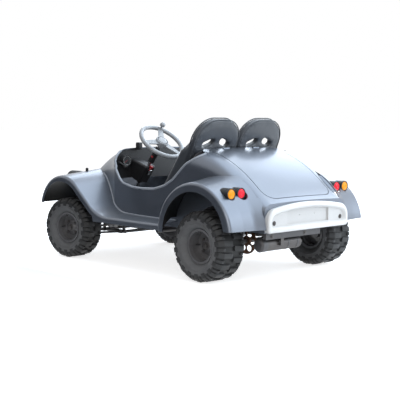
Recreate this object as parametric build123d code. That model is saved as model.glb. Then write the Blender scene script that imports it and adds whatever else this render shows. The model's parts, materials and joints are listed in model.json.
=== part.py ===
from build123d import *
import os
from math import cos, radians, sin, tan

# Open two-seat terrain vehicle. Millimetres and degrees, +X forward, +Y left, +Z up.
# The origin is on the ground below the middle of the overall box.

# Layout
WHEELBASE = 1465
FRONT_REACH = 335
REAR_REACH = 385
REAR_X = REAR_REACH - (REAR_REACH + WHEELBASE + FRONT_REACH) / 2
FRONT_X = REAR_X + WHEELBASE
REAR_TYRE_Y = 550
FRONT_TYRE_Y = 545
REAR_TYRE_R = 230
FRONT_TYRE_R = 224
REAR_TYRE_W = 236
FRONT_TYRE_W = 186
STEER_REST = 9.2
SKIN = 6
SEAM = 0.3
RUN_FIT = 0.05
LOOSE_FIT = 0.3
WHEEL_CLEAR = 25
WALL_FIT = 1
# Cutting solids: reach sideways or lengthwise, height, run past a face, run past an open end
FAR = 800
TALL = 1000
PAST = 60
OPEN_PAST = 1

# Central body: stations from an axle, half width, top, crown height, shoulder radius
BODY_FOOT = 310
HOOD_STATIONS = [
    (FRONT_REACH, 185, 470, 15, 90),
    (225, 250, 572, 20, 120),
    (125, 280, 636, 22, 130),
    (0, 302, 712, 25, 135),
    (-185, 348, 788, 22, 130),
    (-365, 432, 832, 18, 125),
]
TAIL_STATIONS = [
    (430, 492, 838, 12, 125),
    (240, 475, 838, 12, 118),
    (60, 455, 786, 14, 108),
    (-130, 437, 682, 14, 100),
    (-270, 420, 571, 12, 90),
    (-348, 408, 516, 10, 66),
]
DASH_X = FRONT_X + HOOD_STATIONS[-1][0]
DASH_HALF = HOOD_STATIONS[-1][1]
TAIL_FRONT_X = REAR_X + TAIL_STATIONS[0][0]
TAIL_HALF = TAIL_STATIONS[0][1]
TAIL_BACK_X = REAR_X + TAIL_STATIONS[-1][0]
SIDE_BULGE = 20
DECK_X = REAR_X + 262
DECK_HALF = 400
DECK_CORNER = 90
DECK_LENGTH = 400
DECK_DROP = 200
DECK_TOP = TAIL_STATIONS[1][2]
DOOR_CORNER = 60
# Door cut seen from the side: station ahead of the rear axle, height
DOOR_CUT = [
    (170, 816),
    (295, 737),
    (409, 630),
    (486, 587),
    (600, 556),
    (760, 551),
]
# Front end of the door cut: station ahead of the front axle, height
DOOR_CUT_FRONT = [
    (-606, 556),
    (-487, 577),
    (-435, 610),
    (-385, 668),
    (-362, 736),
    (-353, 800),
]

# Front fender and running board
FENDER_OUT = 645
FENDER_IN = 200
FENDER_RISE = 48
FENDER_LIP = 40
FENDER_EDGE = 24
SKIRT_LAP = 2
CROWN_DX = 11
CROWN_Z = 609
FRONT_ARC = 265
BACK_ARC = 300
SWEEP_SLOPE = 39.5
SWEEP_ARC = 307
BOARD_Z = 341
BOARD_END = 362
FRONT_TIP_Z = 398
FRONT_TIP_DX = 60
FRONT_TIP_TURN = 84
FRONT_ARCH_DX = -45
FRONT_ARCH_Z = 225
FRONT_ARCH_R = 345

# Rear fender, turned about a line above the rear axle
REAR_ARCH_DX = 25
REAR_ARCH_Z = 300
REAR_ARCH_R = 280
REAR_OUT = 675
REAR_SECTION = [(REAR_OUT, 336), (560, 350), (470, 364), (390, 400)]
REAR_FOOT_Z = 350
REAR_ROLL = 120
BOARD_NOTCH = 40

# Tail lid
LID_FRONT = 238
LID_BACK = -308
LID_FRONT_Z = 832
LID_BACK_Z = 536
LID_HALF = 328
LID_GAP = 5
LID_FRONT_CORNER = 30
LID_BACK_CORNER = 85
HINGE_R = 6
HINGE_Y = 150
HINGE_LENGTH = 60
HINGE_END_GAP = 3
LID_CUT = 130

# Rear panel
PANEL_DEPTH = REAR_REACH + TAIL_STATIONS[-1][0]
PANEL_HALF = 405
PANEL_FOOT = 327
PANEL_SIDE_TOP = 466
PANEL_TOP = 508
PANEL_CORNER = 85
PANEL_RIM = 32
PANEL_BASE = 6
PANEL_ROUND = 14
PANEL_DRAFT = 7
PANEL_LOW_CORNER = 22
RECESS_DEPTH = 19
BAY_HALF = 210
BAY_FOOT = 372
BAY_TOP = 560
PLATE_HOLE_R = 3.5
PLATE_HOLE_SPACING = 150
PLATE_HOLE_Z = 425
PLATE_BORE_RUN = 30
PLATE_NUT_CLEAR = 4

# Lamps
LAMP_R = 37.5
LENS_R = 31
TAIL_LAMP_DX = -216
TAIL_LAMP_Z = 574
RED_Y = 484
AMBER_Y = 574
TAIL_LAMP_LENGTH = 66
POCKET_GAP = 1
POCKET_RUN = 200
LENS_DEPTH = 14
LENS_PROUD = 2
LENS_ROUND = 8
HEAD_R = 60
HEAD_Y = 365
HEAD_Z = 572
HEAD_FRONT = 236
HEAD_LENGTH = 140
HEAD_BORE_GAP = 10
HEAD_TAIL_ROUND = 40
HEAD_WALL = 6
GLASS_DEPTH = 22
GLASS_PROUD = 4
GLASS_ROUND = 14
MARKER_DX = 25
MARKER_Y = 385
MARKER_R = 11
MARKER_H = 24
MARKER_SEAT = 3
MARKER_ROUND = 6

# Grille
GRILLE_HALF = 130
GRILLE_FOOT = 335
GRILLE_TOP = 425
GRILLE_BARS = 9
GRILLE_CORNER = 30
GRILLE_CUT = 30
GRILLE_SIDE = 15
GRILLE_BORDER = 13
GRILLE_BAR_W = 9
GRILLE_INSET = 10
GRILLE_T = 8
SLOT_ROUND = 7

# Frame
RAIL_Y = 140
RAIL_Z = 285
RAIL_R = 19
RAIL_BACK = -225
BAR_FACE = -330
RAIL_FRONT = 255
AXLE_CLEAR = 21
KICK_HALF = 60
SLEEVE_WALL = 3
PAN_BACK = 245
PAN_FRONT = -30
PAN_BACK_HALF = 470
PAN_FRONT_HALF = 308
PAN_FOOT = RAIL_Z + RAIL_R
ENGINE_CROSSES = (-130, 238)
PIVOT_DX = 330
PIVOT_Z = 273
PIVOT_HALF = 300
CROSS_R = 16
LOW_RAIL_Z = 165
LOW_RAIL_R = 14
LOW_RAIL_END = 137
LOW_POST = 120
STAY_R = 12
STAY_LAP = 20
STAY_RISE = 36
TOWER_Z = 440
TOWER_HALF = 240
OUTRIGGER_END = 600
OUTRIGGER_R = 14
OUTRIGGER_BACK = 440
OUTRIGGER_FRONT = -480
NOSE_CROSS_DX = 240
NOSE_CROSS_HALF = 200
BAR_T = 24
BAR_H = 38
BAR_WALL = 3
BAR_FOOT = 286
BAR_LEFT = 398
BAR_RIGHT = 140
BAR_PLUG = 100
HOOP_DX = 90
HOOP_R = 14
HOOP_TOP = 560
HOOP_HALF = 255
HOOP_JOINT = 2

# Engine and muffler
CASE_LAP = 12
CASE_RIGHT = 75
CASE_LEFT = 110
CASE_FRONT = 190
CASE_H = 130
CASE_JOIN = 10
BARREL_BACK = -60
BARREL_FRONT = 110
BARREL_RIGHT = 50
BARREL_LEFT = 60
BARREL_TOP = 200
ENGINE_NOSE_HALF = 50
ENGINE_NOSE_H = 70
ENGINE_NOSE_LAP = 4
MUFFLER_R = 43
MUFFLER_DX = -286
MUFFLER_Z = 244
MUFFLER_RIGHT = 12
MUFFLER_LEFT = 395
MUFFLER_ROUND = 14
PIPE_R = 14
PIPE_HALF = 20
BRACKET_RIGHT = 215
BRACKET_LEFT = 245
BRACKET_BACK = 16
BRACKET_T = 6

# Cockpit
FIREWALL_DX = 250
DASH_T = 18
DASH_SET = 16
DASH_FOOT = 600
POD_Y = 330
POD_Z = 730
POD_R = 42
POD_PROUD = 20
# Column cover seen from the side: station from the dashboard line, height
COVER_SIDE = [(-170, 690), (DASH_SET, 745), (DASH_SET, 605), (-70, 560)]
COVER_HALF = 48
COVER_ROUND = 16
LEVER_Y = 390
LEVER_Z = 715
LEVER_BOSS = 12
LEVER_BOSS_R = 10
LEVER_R = 6
LEVER_GRIP_R = 18
LEVER_ROOT = (-2, 392.4, 720)
LEVER_TIP = (-62, 378, 690)
PEDAL_YS = (120, 300)
PEDAL_DX = -190
PEDAL_STEM_W = 16
PEDAL_STEM_H = 110
PEDAL_PAD = (12, 62, 74)
PEDAL_PAD_DX = -188
PEDAL_PAD_UP = 120
PEDAL_TILT = 20

# Steering
WHEEL_TILT = 39.5
WHEEL_HUB = (820, 220, 870)
RIM_MAJOR = 163
RIM_MINOR = 16
HUB_R = 48
HUB_H = 30
HUB_DROP = 4
SPOKE_START = 20
SPOKE_HUB_HALF = 26
SPOKE_RIM_HALF = 17
SPOKE_T = 8
KNOB_R = 20
KNOB_UP = 42
KNOB_STEM_R = 6
KNOB_STEM_H = 30
KNOB_STEM_UP = 18
SHAFT_PASS = 12
SHAFT_R = 11
SHAFT_LENGTH = 835
SPOKE_ANGLES = (60, 180, 300)
KINGPIN_Y = 440
KINGPIN_R = 10
STEER_ARM = 90
STEER_ARM_T = 12
STEER_ARM_ROOT_R = 18
STEER_ARM_TIP_R = 14
KINGPIN_PROUD = 14
KNUCKLE_R = 20
KNUCKLE_GAP = 1
STUB_R = 12
STUB_END = 24
BOSS_R = 22
BOSS_L = 40
EYE_R = 15
EYE_H = 16
RACK_Z = 224
RACK_R = 9
HOUSING_R = 18
HOUSING_RIGHT = 180
HOUSING_LEFT = 262
HOUSING_LUG = 14
PINION_R = 22
PINION_LOW = 10
PINION_HIGH = 50
ARM_REACH = 105
HIGH_ARM_SHORT = 30
ARM_R = 8
ARM_TIP_DX = 12
ARM_TIP_IN = 10
BUSH_R = 13
BUSH_HALF = 18
LOW_ARM_Z = 166
HIGH_ARM_Z = 285
ARM_RING_R = 20
ARM_RING_H = 16
SHOCK_FOOT_Y = 320
SHOCK_TOP_Y = 222
SHOCK_BAR_R = 9
SHOCK_BAR_HALF = 50
SHOCK_PIN_HALF = 16
SHOCK_ROD_R = 8
SHOCK_COIL_R = 19
SHOCK_CAP_R = 15
# Shares of a shock's length: foot of the coil, head of the coil, head of the cap
SHOCK_COIL_LOW = 0.18
SHOCK_COIL_HIGH = 0.8
SHOCK_CAP_HIGH = 0.88
REAR_SHOCK_DX = 70
REAR_SHOCK_Y = 290
REAR_SHOCK_Z = 262
SHOCK_EYE_R = 14
SHOCK_EYE_L = 30
SHOCK_EYE_LIFT = 6
SHOCK_EYE_DROP = 12

# Rear axle
AXLE_R = 15
AXLE_PROUD = 10
SWING_IN = 262
SWING_T = 12
SWING_AXLE_R = 34
SWING_PIVOT_R = 26
BEARING_R = 38
BEARING_IN = 16
BEARING_OUT = 6
BRACE_DX = 250
BRACE_Z = 250
BRACE_HALF = 270
BRACE_R = 12
DISC_R = 88
DISC_Y = 195
DISC_T = 6
CARRIER_R = 28
CARRIER_L = 20
CALIPER_BACK = 40
CALIPER_FRONT = 104
CALIPER_HALF = 26
CALIPER_FOOT = 256
CALIPER_TOP = 312
CALIPER_SLOT = 8
CALIPER_BRIDGE = 12
CALIPER_ARM_BACK = 60
CALIPER_ARM_FRONT = 100
CALIPER_ARM_FOOT = 246
CALIPER_ARM_TOP = 268
CALIPER_ARM_LAP = 6
DISC_HOLES = 6
DISC_HOLE_R = 21
DISC_HOLE_AT = 54
SPROCKET_R = 80
SPROCKET_Y = -100
SPROCKET_T = 6
SPROCKET_HUB_R = 30
SPROCKET_HUB_L = 20
CHAIN_GAP = 0.8
CHAIN_H = 9
CHAIN_W = 10
DRIVE_DX = 195
DRIVE_Z = 335
DRIVE_R = 28
DRIVE_T = 8
DRIVE_SHAFT_R = 14
DRIVE_SHAFT_END = -40
DRIVE_STUB = 6

# Seats
SEAT_Y = 216
SEAT_HALF = 212
SEAT_RECLINE = 21.2
SEAT_HIP_DX = 446
SEAT_FOOT = 402
SEAT_BACK_H = 675
SEAT_BACK_T = 50
SEAT_TOP_CORNER = 165
SEAT_LENGTH = 394
SEAT_CUSHION = 90
SEAT_TUCK = 20
CUSHION_HALF = 195
BACK_FOOT_HALF = 200
BOLSTER_OUT = 205
BOLSTER_W = 44
# Side wing seen from the side: ahead of the hip, above the hip
WING_TOP = [(SEAT_LENGTH, 120), (150, 170), (-40, 430), (-165, 520)]
HARNESS_HOLE = (110, 44)
HARNESS_Y = 78
HARNESS_UP = 510
HARNESS_TILT = 22
RISER_HALF = 150
RISER_BACK = 60
RISER_FRONT = 40

# Wheels
RIM_R = 101
RIM_LIP = 12
RIM_SHARE = 0.62
LIP_IN = 3
LIP_OUT = 8
LIP_FLARE = 6
BEAD_SEAT_W = 20
BEAD_SEAT_T = 5
WELL_RAMP = 10
WELL_DEPTH = 14
WELL_FACE = 9
FLARE_FACE = 4
RIM_DISC_T = 5
NAVE_R = 40
NOSE_R = 30
CONE_H = 12
CONE_R = 62
FRONT_DISH = 10
FRONT_HUB_LOW = -24
FRONT_HUB_HIGH = 34
REAR_DISH = 0
REAR_HUB_LOW = -30
REAR_HUB_HIGH = 20
TYRE_SIDES = 36
BULGE_R = 150
SHOULDER_DROP = 30
# Shares of a tyre's half width
BULGE_SHARE = 0.97
SHOULDER_SHARE = 0.99
TREAD_SHARE = 0.74
LUG_START = 0.06
LUG_HEEL = 0.60
LUG_FLAT = 0.70
LUG_TOE = 0.90
LUGS = 18
LUG_H = 15
LUG_W = 34
LUG_BEVEL = 26
LUG_SKIRT = 62
LUG_ROOT = 4


def rear(station):
    return REAR_X + station


def front(station):
    return FRONT_X + station


def cross_plane(x):
    return Plane(origin=(x, 0, 0), x_dir=(0, 1, 0), z_dir=(1, 0, 0))


def side_solid(face, low_y, high_y):
    plane = Plane(origin=(0, high_y, 0), x_dir=(1, 0, 0), z_dir=(0, -1, 0))
    return extrude(plane * face, high_y - low_y)


def block(low, high):
    size = [b - a for a, b in zip(low, high)]
    middle = [(a + b) / 2 for a, b in zip(low, high)]
    return Pos(*middle) * Box(*size)


def rod(start, end, radius):
    span = Vector(*end) - Vector(*start)
    return extrude(Plane(origin=start, z_dir=span.normalized()) * Circle(radius), span.length)


def y_rod(x, z, low_y, high_y, radius):
    return rod((x, low_y, z), (x, high_y, z), radius)


def flip(shape):
    return mirror(shape, about=Plane.XZ)


def corners_at(face, points, radius):
    chosen = [v for v in face.vertices() if any(abs(v.X - a) + abs(v.Y - b) < 0.01 for a, b in points)]
    return fillet(chosen, radius)


# Central body


def arch(half, foot, top, crown, radius):
    side_top = top - crown
    outline = [
        Line((-half, foot), (half, foot)),
        Line((half, foot), (half, side_top)),
        ThreePointArc((half, side_top), (0, top), (-half, side_top)),
        Line((-half, side_top), (-half, foot)),
    ]
    return corners_at(make_face(outline), [(half, side_top), (-half, side_top)], radius)


def body_loft(anchor, stations, foot, inset, shifts):
    moves = [shifts[0]] + [0] * (len(stations) - 2) + [shifts[1]]
    sections = []
    for (station, half, top, crown, radius), move in zip(stations, moves):
        face = arch(half - inset, foot, top - inset, crown, radius - inset)
        sections.append(cross_plane(anchor + station + move) * face)
    return loft(sections)


def side_plan(inset):
    middle = (DASH_X + TAIL_FRONT_X) / 2
    bulge = (DASH_HALF + TAIL_HALF) / 2 + SIDE_BULGE - inset
    return [
        Line((DASH_X, 0), (DASH_X, DASH_HALF - inset)),
        ThreePointArc((DASH_X, DASH_HALF - inset), (middle, bulge), (TAIL_FRONT_X, TAIL_HALF - inset)),
        Line((TAIL_FRONT_X, TAIL_HALF - inset), (TAIL_FRONT_X, 0)),
        Line((TAIL_FRONT_X, 0), (DASH_X, 0)),
    ]


def side_block(inset, foot, top):
    return Pos(0, 0, foot) * extrude(make_face(side_plan(inset)), top - foot)


WALL_TOP = HOOD_STATIONS[-1][2] - HOOD_STATIONS[-1][3] - HOOD_STATIONS[-1][4]
hood_outer = body_loft(FRONT_X, HOOD_STATIONS, BODY_FOOT, 0, (0, 0))
hood_inner = body_loft(FRONT_X, HOOD_STATIONS, BODY_FOOT - PAST, SKIN, (-SKIN, -OPEN_PAST))
tail_outer = body_loft(REAR_X, TAIL_STATIONS, BODY_FOOT, 0, (0, 0))
tail_inner = body_loft(REAR_X, TAIL_STATIONS, BODY_FOOT - PAST, SKIN, (OPEN_PAST, SKIN))
hood_keepout = body_loft(FRONT_X, HOOD_STATIONS, BODY_FOOT, -SEAM, (0, 0))
tail_keepout = body_loft(REAR_X, TAIL_STATIONS, BODY_FOOT, -SEAM, (0, 0))
side_keepout = side_block(-SEAM, BODY_FOOT, WALL_TOP)

# Door cut and cockpit opening
cut_points = [(rear(a), b) for a, b in DOOR_CUT] + [(front(a), b) for a, b in DOOR_CUT_FRONT]
cut_top = DECK_TOP + PAST
cut_outline = Polyline(
    *cut_points,
    (cut_points[-1][0], cut_top),
    (cut_points[0][0], cut_top),
    close=True,
)
cut_face = corners_at(make_face(cut_outline), cut_points[1:-1], DOOR_CORNER)
deck_keep = Pos(DECK_X - DECK_LENGTH / 2, 0, DECK_TOP - DECK_DROP) * extrude(
    RectangleRounded(DECK_LENGTH, 2 * DECK_HALF, DECK_CORNER), DECK_DROP + 2 * PAST
)
cockpit_cut = side_solid(cut_face, -FAR, FAR) - deck_keep

hood_shell = hood_outer - hood_inner
ahead = block((FRONT_X, -FAR, 0), (FRONT_X + FAR, FAR, TALL))
cowl = hood_shell - ahead - cockpit_cut
nose_panel = hood_shell & ahead

side_wall_left = side_block(0, BODY_FOOT, WALL_TOP) - side_block(SKIN, BODY_FOOT, WALL_TOP)
dash_end = block((DASH_X - SKIN, 0, 0), (DASH_X + OPEN_PAST, DASH_HALF - SKIN, TALL))
tail_end = block((TAIL_FRONT_X - OPEN_PAST, 0, 0), (TAIL_FRONT_X + SKIN, TAIL_HALF - SKIN, TALL))
side_wall_left = side_wall_left & block((-FAR, DASH_HALF / 2, 0), (FAR, FAR, TALL))
side_wall_left = side_wall_left - dash_end - tail_end
side_panel_left = side_wall_left - cockpit_cut

# Tail shell with wheel clearance and its lid
ARCH_X = rear(REAR_ARCH_DX)
tail_arch = y_rod(REAR_X, REAR_TYRE_R, -FAR, FAR, REAR_TYRE_R + WHEEL_CLEAR)
low_tail = block((TAIL_BACK_X - PAST, -FAR, 0), (ARCH_X, FAR, PANEL_FOOT))
tail_shell = tail_outer - tail_inner - cockpit_cut - tail_arch - low_tail
lid_run = Vector(rear(LID_BACK) - rear(LID_FRONT), 0, LID_BACK_Z - LID_FRONT_Z)
lid_normal = Vector(lid_run.Z, 0, -lid_run.X).normalized()
lid_middle = ((rear(LID_FRONT) + rear(LID_BACK)) / 2, 0, (LID_FRONT_Z + LID_BACK_Z) / 2)
lid_plane = Plane(origin=lid_middle, x_dir=lid_run.normalized(), z_dir=lid_normal)


def lid_prism(grow):
    length = lid_run.length / 2 + grow
    half = LID_HALF + grow
    face = make_face(
        Polyline((-length, -half), (length, -half), (length, half), (-length, half), close=True)
    )
    face = corners_at(face, [(length, -half), (length, half)], LID_BACK_CORNER + grow)
    face = corners_at(face, [(-length, -half), (-length, half)], LID_FRONT_CORNER + grow)
    return extrude(lid_plane * face, LID_CUT, both=True)


HINGE_X = rear(LID_FRONT) + LID_GAP / 2
HINGE_Z = DECK_TOP
lid = tail_shell & lid_prism(0)
tail_shell = tail_shell - lid_prism(LID_GAP)
for side in (1, -1):
    low = side * HINGE_Y - HINGE_LENGTH / 2
    lid = lid + y_rod(HINGE_X, HINGE_Z, low, low + HINGE_LENGTH, HINGE_R)
    high = low + HINGE_LENGTH
    groove = y_rod(HINGE_X, HINGE_Z, low - HINGE_END_GAP, high + HINGE_END_GAP, HINGE_R + LOOSE_FIT)
    tail_shell = tail_shell - groove

# Front fender with running board
BACK_ANGLE = radians(SWEEP_SLOPE)
CROWN_X = front(CROWN_DX)
slope_top = (CROWN_X - BACK_ARC * sin(BACK_ANGLE), CROWN_Z - BACK_ARC * (1 - cos(BACK_ANGLE)))
knee_x = slope_top[0] - (slope_top[1] - BOARD_Z) / tan(BACK_ANGLE)
knee_run = SWEEP_ARC * tan(BACK_ANGLE / 2)
board_front = (knee_x - knee_run, BOARD_Z)
slope_foot = (knee_x + knee_run * cos(BACK_ANGLE), BOARD_Z + knee_run * sin(BACK_ANGLE))


def fender_line(drop):
    return [
        Line((rear(BOARD_END), BOARD_Z - drop), (board_front[0], BOARD_Z - drop)),
        CenterArc((board_front[0], BOARD_Z + SWEEP_ARC - drop), SWEEP_ARC, -90, SWEEP_SLOPE),
        Line((slope_foot[0], slope_foot[1] - drop), (slope_top[0], slope_top[1] - drop)),
        CenterArc((CROWN_X, CROWN_Z - BACK_ARC - drop), BACK_ARC, 90 + SWEEP_SLOPE, -SWEEP_SLOPE),
        CenterArc((CROWN_X, CROWN_Z - FRONT_ARC - drop), FRONT_ARC, 90, -FRONT_TIP_TURN),
    ]


fender_path = Wire([Plane.XZ * edge for edge in fender_line(0)])
fender_outline = make_face(
    Polyline(
        (FENDER_OUT, -FENDER_LIP),
        (FENDER_OUT, 0),
        (FENDER_IN, FENDER_RISE),
        (FENDER_IN, FENDER_RISE - SKIN),
        (FENDER_OUT - SKIN, -SKIN),
        (FENDER_OUT - SKIN, -FENDER_LIP),
        close=True,
    )
)
fender_outline = corners_at(fender_outline, [(FENDER_OUT, 0)], FENDER_EDGE)
fender_outline = corners_at(fender_outline, [(FENDER_OUT - SKIN, -SKIN)], FENDER_EDGE - SKIN)
fender_start = Plane(origin=(rear(BOARD_END), 0, BOARD_Z), x_dir=(0, 1, 0), z_dir=(1, 0, 0))
fender_skin = sweep(fender_start * fender_outline, path=fender_path)
skirt_drop = FENDER_EDGE + SKIRT_LAP
skirt_line = fender_line(skirt_drop)[:4]
skirt_foot = BOARD_Z - FENDER_LIP
skirt_face = make_face(
    skirt_line
    + [
        Line((CROWN_X, CROWN_Z - skirt_drop), (CROWN_X, skirt_foot)),
        Line((CROWN_X, skirt_foot), (rear(BOARD_END), skirt_foot)),
        Line((rear(BOARD_END), skirt_foot), (rear(BOARD_END), BOARD_Z - skirt_drop)),
    ]
)
skirt = side_solid(skirt_face, FENDER_OUT - SKIN, FENDER_OUT)
front_arch = y_rod(front(FRONT_ARCH_DX), FRONT_ARCH_Z, 0, FAR, FRONT_ARCH_R)
skirt = skirt - front_arch
bore_back = (front(HEAD_FRONT - HEAD_LENGTH - HEAD_BORE_GAP), HEAD_Y, HEAD_Z)
head_bore = rod(bore_back, (front(FAR), HEAD_Y, HEAD_Z), HEAD_R + SEAM)
below_tip = block((front(FRONT_TIP_DX), 0, 0), (front(FAR), FAR, FRONT_TIP_Z))
front_fender_left = fender_skin + skirt - below_tip - hood_keepout - side_keepout - tail_keepout
front_fender_left = front_fender_left - head_bore

# Rear fender
rear_inner = [(y - SKIN if n == 0 else y, r - SKIN) for n, (y, r) in enumerate(REAR_SECTION)]
rear_points = [(REAR_OUT, REAR_ARCH_R)] + REAR_SECTION + rear_inner[::-1] + [(REAR_OUT - SKIN, REAR_ARCH_R)]
rear_face = make_face(Polyline(*rear_points, close=True))
rear_face = corners_at(rear_face, [REAR_SECTION[0]], FENDER_EDGE)
rear_face = corners_at(rear_face, [rear_inner[0]], FENDER_EDGE - SKIN)
for point in REAR_SECTION[1:-1] + rear_inner[1:-1]:
    rear_face = corners_at(rear_face, [point], REAR_ROLL)
rear_axis = Axis((ARCH_X, 0, REAR_ARCH_Z), (0, -1, 0))
rear_plane = Plane(origin=(ARCH_X, 0, REAR_ARCH_Z), x_dir=(0, 1, 0), z_dir=(0, 0, -1))
rear_fender_left = revolve(rear_plane * rear_face, rear_axis, revolution_arc=180)
rear_fender_left = rear_fender_left - tail_keepout - side_keepout
below_foot = block((ARCH_X - FAR, 0, 0), (ARCH_X, FAR, REAR_FOOT_Z))
over_board = block((rear(BOARD_END) - SEAM, 0, 0), (ARCH_X + FAR, FAR, BOARD_Z + BOARD_NOTCH))
rear_fender_left = rear_fender_left - below_foot - over_board

# Tail lamps in pockets of the rear fender
LAMP_BACK = rear(TAIL_LAMP_DX)
lamp_housings = []
red_lenses = []
amber_lenses = []
for lamp_y, lenses in ((RED_Y, red_lenses), (AMBER_Y, amber_lenses)):
    start = (LAMP_BACK, lamp_y, TAIL_LAMP_Z)
    lens_seat = (LAMP_BACK + LENS_DEPTH, lamp_y, TAIL_LAMP_Z)
    pocket_end = (LAMP_BACK + TAIL_LAMP_LENGTH + POCKET_GAP, lamp_y, TAIL_LAMP_Z)
    pocket = rod(pocket_end, (LAMP_BACK - POCKET_RUN, lamp_y, TAIL_LAMP_Z), LAMP_R + SEAM)
    rear_fender_left = rear_fender_left - pocket
    can = rod(start, (LAMP_BACK + TAIL_LAMP_LENGTH, lamp_y, TAIL_LAMP_Z), LAMP_R)
    can = can - rod(start, lens_seat, LENS_R + SEAM)
    lens = rod((LAMP_BACK - LENS_PROUD, lamp_y, TAIL_LAMP_Z), lens_seat, LENS_R)
    lens = fillet(lens.edges().sort_by(Axis.X)[0], LENS_ROUND)
    lamp_housings += [can, flip(can)]
    lenses += [lens, flip(lens)]

# Headlamps and fender markers
head_shells = []
head_lenses = []
markers = []
head_face_x = front(HEAD_FRONT)
shell = rod((front(HEAD_FRONT - HEAD_LENGTH), HEAD_Y, HEAD_Z), (head_face_x, HEAD_Y, HEAD_Z), HEAD_R)
shell = fillet(shell.edges().sort_by(Axis.X)[0], HEAD_TAIL_ROUND)
glass_seat = (head_face_x - GLASS_DEPTH, HEAD_Y, HEAD_Z)
glass_r = HEAD_R - HEAD_WALL
shell = shell - rod(glass_seat, (head_face_x, HEAD_Y, HEAD_Z), glass_r)
glass = rod(glass_seat, (head_face_x + GLASS_PROUD, HEAD_Y, HEAD_Z), glass_r - SEAM)
glass = fillet(glass.edges().sort_by(Axis.X)[-1], GLASS_ROUND)
marker_foot = CROWN_Z + FENDER_RISE * (FENDER_OUT - MARKER_Y) / (FENDER_OUT - FENDER_IN)
marker_start = (front(MARKER_DX), MARKER_Y, marker_foot - MARKER_SEAT)
marker = rod(marker_start, (front(MARKER_DX), MARKER_Y, marker_foot + MARKER_H), MARKER_R)
marker = fillet(marker.edges().sort_by(Axis.Z)[-1], MARKER_ROUND)
marker_bore = rod(marker_start, (front(MARKER_DX), MARKER_Y, marker_foot + PAST), MARKER_R + SEAM)
front_fender_left = front_fender_left - marker_bore
for piece, group in ((shell, head_shells), (glass, head_lenses), (marker, markers)):
    group += [piece, flip(piece)]

# Grille in the nose
nose_x = front(FRONT_REACH)
grille_h = GRILLE_TOP - GRILLE_FOOT
grille_middle = Pos(0, (GRILLE_FOOT + GRILLE_TOP) / 2)
grille_hole = grille_middle * RectangleRounded(2 * GRILLE_HALF, grille_h, GRILLE_CORNER)
nose_panel = nose_panel - extrude(cross_plane(nose_x - GRILLE_CUT) * grille_hole, 2 * GRILLE_CUT)
grille_frame = RectangleRounded(2 * GRILLE_HALF - 2 * SEAM, grille_h - 2 * SEAM, GRILLE_CORNER - SEAM)
slot_pitch = 2 * (GRILLE_HALF - GRILLE_SIDE) / GRILLE_BARS
slot = RectangleRounded(slot_pitch - GRILLE_BAR_W, grille_h - 2 * GRILLE_BORDER, SLOT_ROUND)
slots = [Pos((n - (GRILLE_BARS - 1) / 2) * slot_pitch, 0) * slot for n in range(GRILLE_BARS)]
grille_face = grille_middle * (grille_frame - slots)
grille = extrude(cross_plane(nose_x - GRILLE_INSET) * grille_face, GRILLE_T)

# Rear panel


def panel_face(inset):
    half = PANEL_HALF - inset
    side_top = PANEL_SIDE_TOP - inset
    outline = [
        Line((-half, PANEL_FOOT + inset), (half, PANEL_FOOT + inset)),
        Line((half, PANEL_FOOT + inset), (half, side_top)),
        ThreePointArc((half, side_top), (0, PANEL_TOP - inset), (-half, side_top)),
        Line((-half, side_top), (-half, PANEL_FOOT + inset)),
    ]
    face = corners_at(make_face(outline), [(half, side_top), (-half, side_top)], PANEL_CORNER - inset)
    return corners_at(face, [(half, PANEL_FOOT + inset), (-half, PANEL_FOOT + inset)], PANEL_LOW_CORNER)


panel_back = TAIL_BACK_X - PANEL_DEPTH
panel_room = extrude(cross_plane(panel_back) * panel_face(-SEAM), PANEL_DEPTH + SEAM)
rear_fender_left = rear_fender_left - panel_room
rear_panel = extrude(cross_plane(panel_back) * panel_face(0), PANEL_DEPTH)
rear_panel = fillet(rear_panel.faces().sort_by(Axis.X)[0].edges(), PANEL_ROUND)
recess_mouth = cross_plane(panel_back) * panel_face(PANEL_RIM - PANEL_DRAFT)
recess_floor = cross_plane(panel_back + RECESS_DEPTH) * panel_face(PANEL_RIM + PANEL_DRAFT)
side_recess = loft([recess_mouth, recess_floor], ruled=True)
bay_window = Pos(0, (BAY_FOOT + BAY_TOP) / 2) * Rectangle(2 * BAY_HALF, BAY_TOP - BAY_FOOT)
bay_face = panel_face(PANEL_RIM + PANEL_DRAFT) & bay_window
bay = extrude(cross_plane(panel_back) * bay_face, PANEL_DEPTH - PANEL_BASE)
rear_panel = rear_panel - side_recess - bay
for side in (1, -1):
    hole_y = side * PLATE_HOLE_SPACING / 2
    hole_start = (panel_back, hole_y, PLATE_HOLE_Z)
    hole_end = (TAIL_BACK_X + PLATE_BORE_RUN, hole_y, PLATE_HOLE_Z)
    rear_panel = rear_panel - rod(hole_start, hole_end, PLATE_HOLE_R)
    tail_shell = tail_shell - rod(hole_start, hole_end, PLATE_HOLE_R + PLATE_NUT_CLEAR)

# Floor pan, firewall and dashboard
pan_outline = [
    (rear(PAN_BACK), -PAN_BACK_HALF),
    (TAIL_FRONT_X, -TAIL_HALF),
    ((DASH_X + TAIL_FRONT_X) / 2, -(DASH_HALF + TAIL_HALF) / 2 - SIDE_BULGE),
    (DASH_X, -DASH_HALF),
    (front(HOOD_STATIONS[-2][0]), -HOOD_STATIONS[-2][1]),
    (front(PAN_FRONT), -PAN_FRONT_HALF),
]
pan_outline += [(x, -y) for x, y in reversed(pan_outline)]
pan_face = make_face(Polyline(*pan_outline, close=True))
floor_pan = Pos(0, 0, PAN_FOOT) * extrude(pan_face, BODY_FOOT - PAN_FOOT)
inside_fit = SKIN + WALL_FIT
tail_crown, tail_shoulder = TAIL_STATIONS[1][3:]
wall_half = TAIL_STATIONS[1][1] - inside_fit
firewall_face = arch(wall_half, BODY_FOOT, DECK_TOP - inside_fit, tail_crown, tail_shoulder - SKIN)
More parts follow.
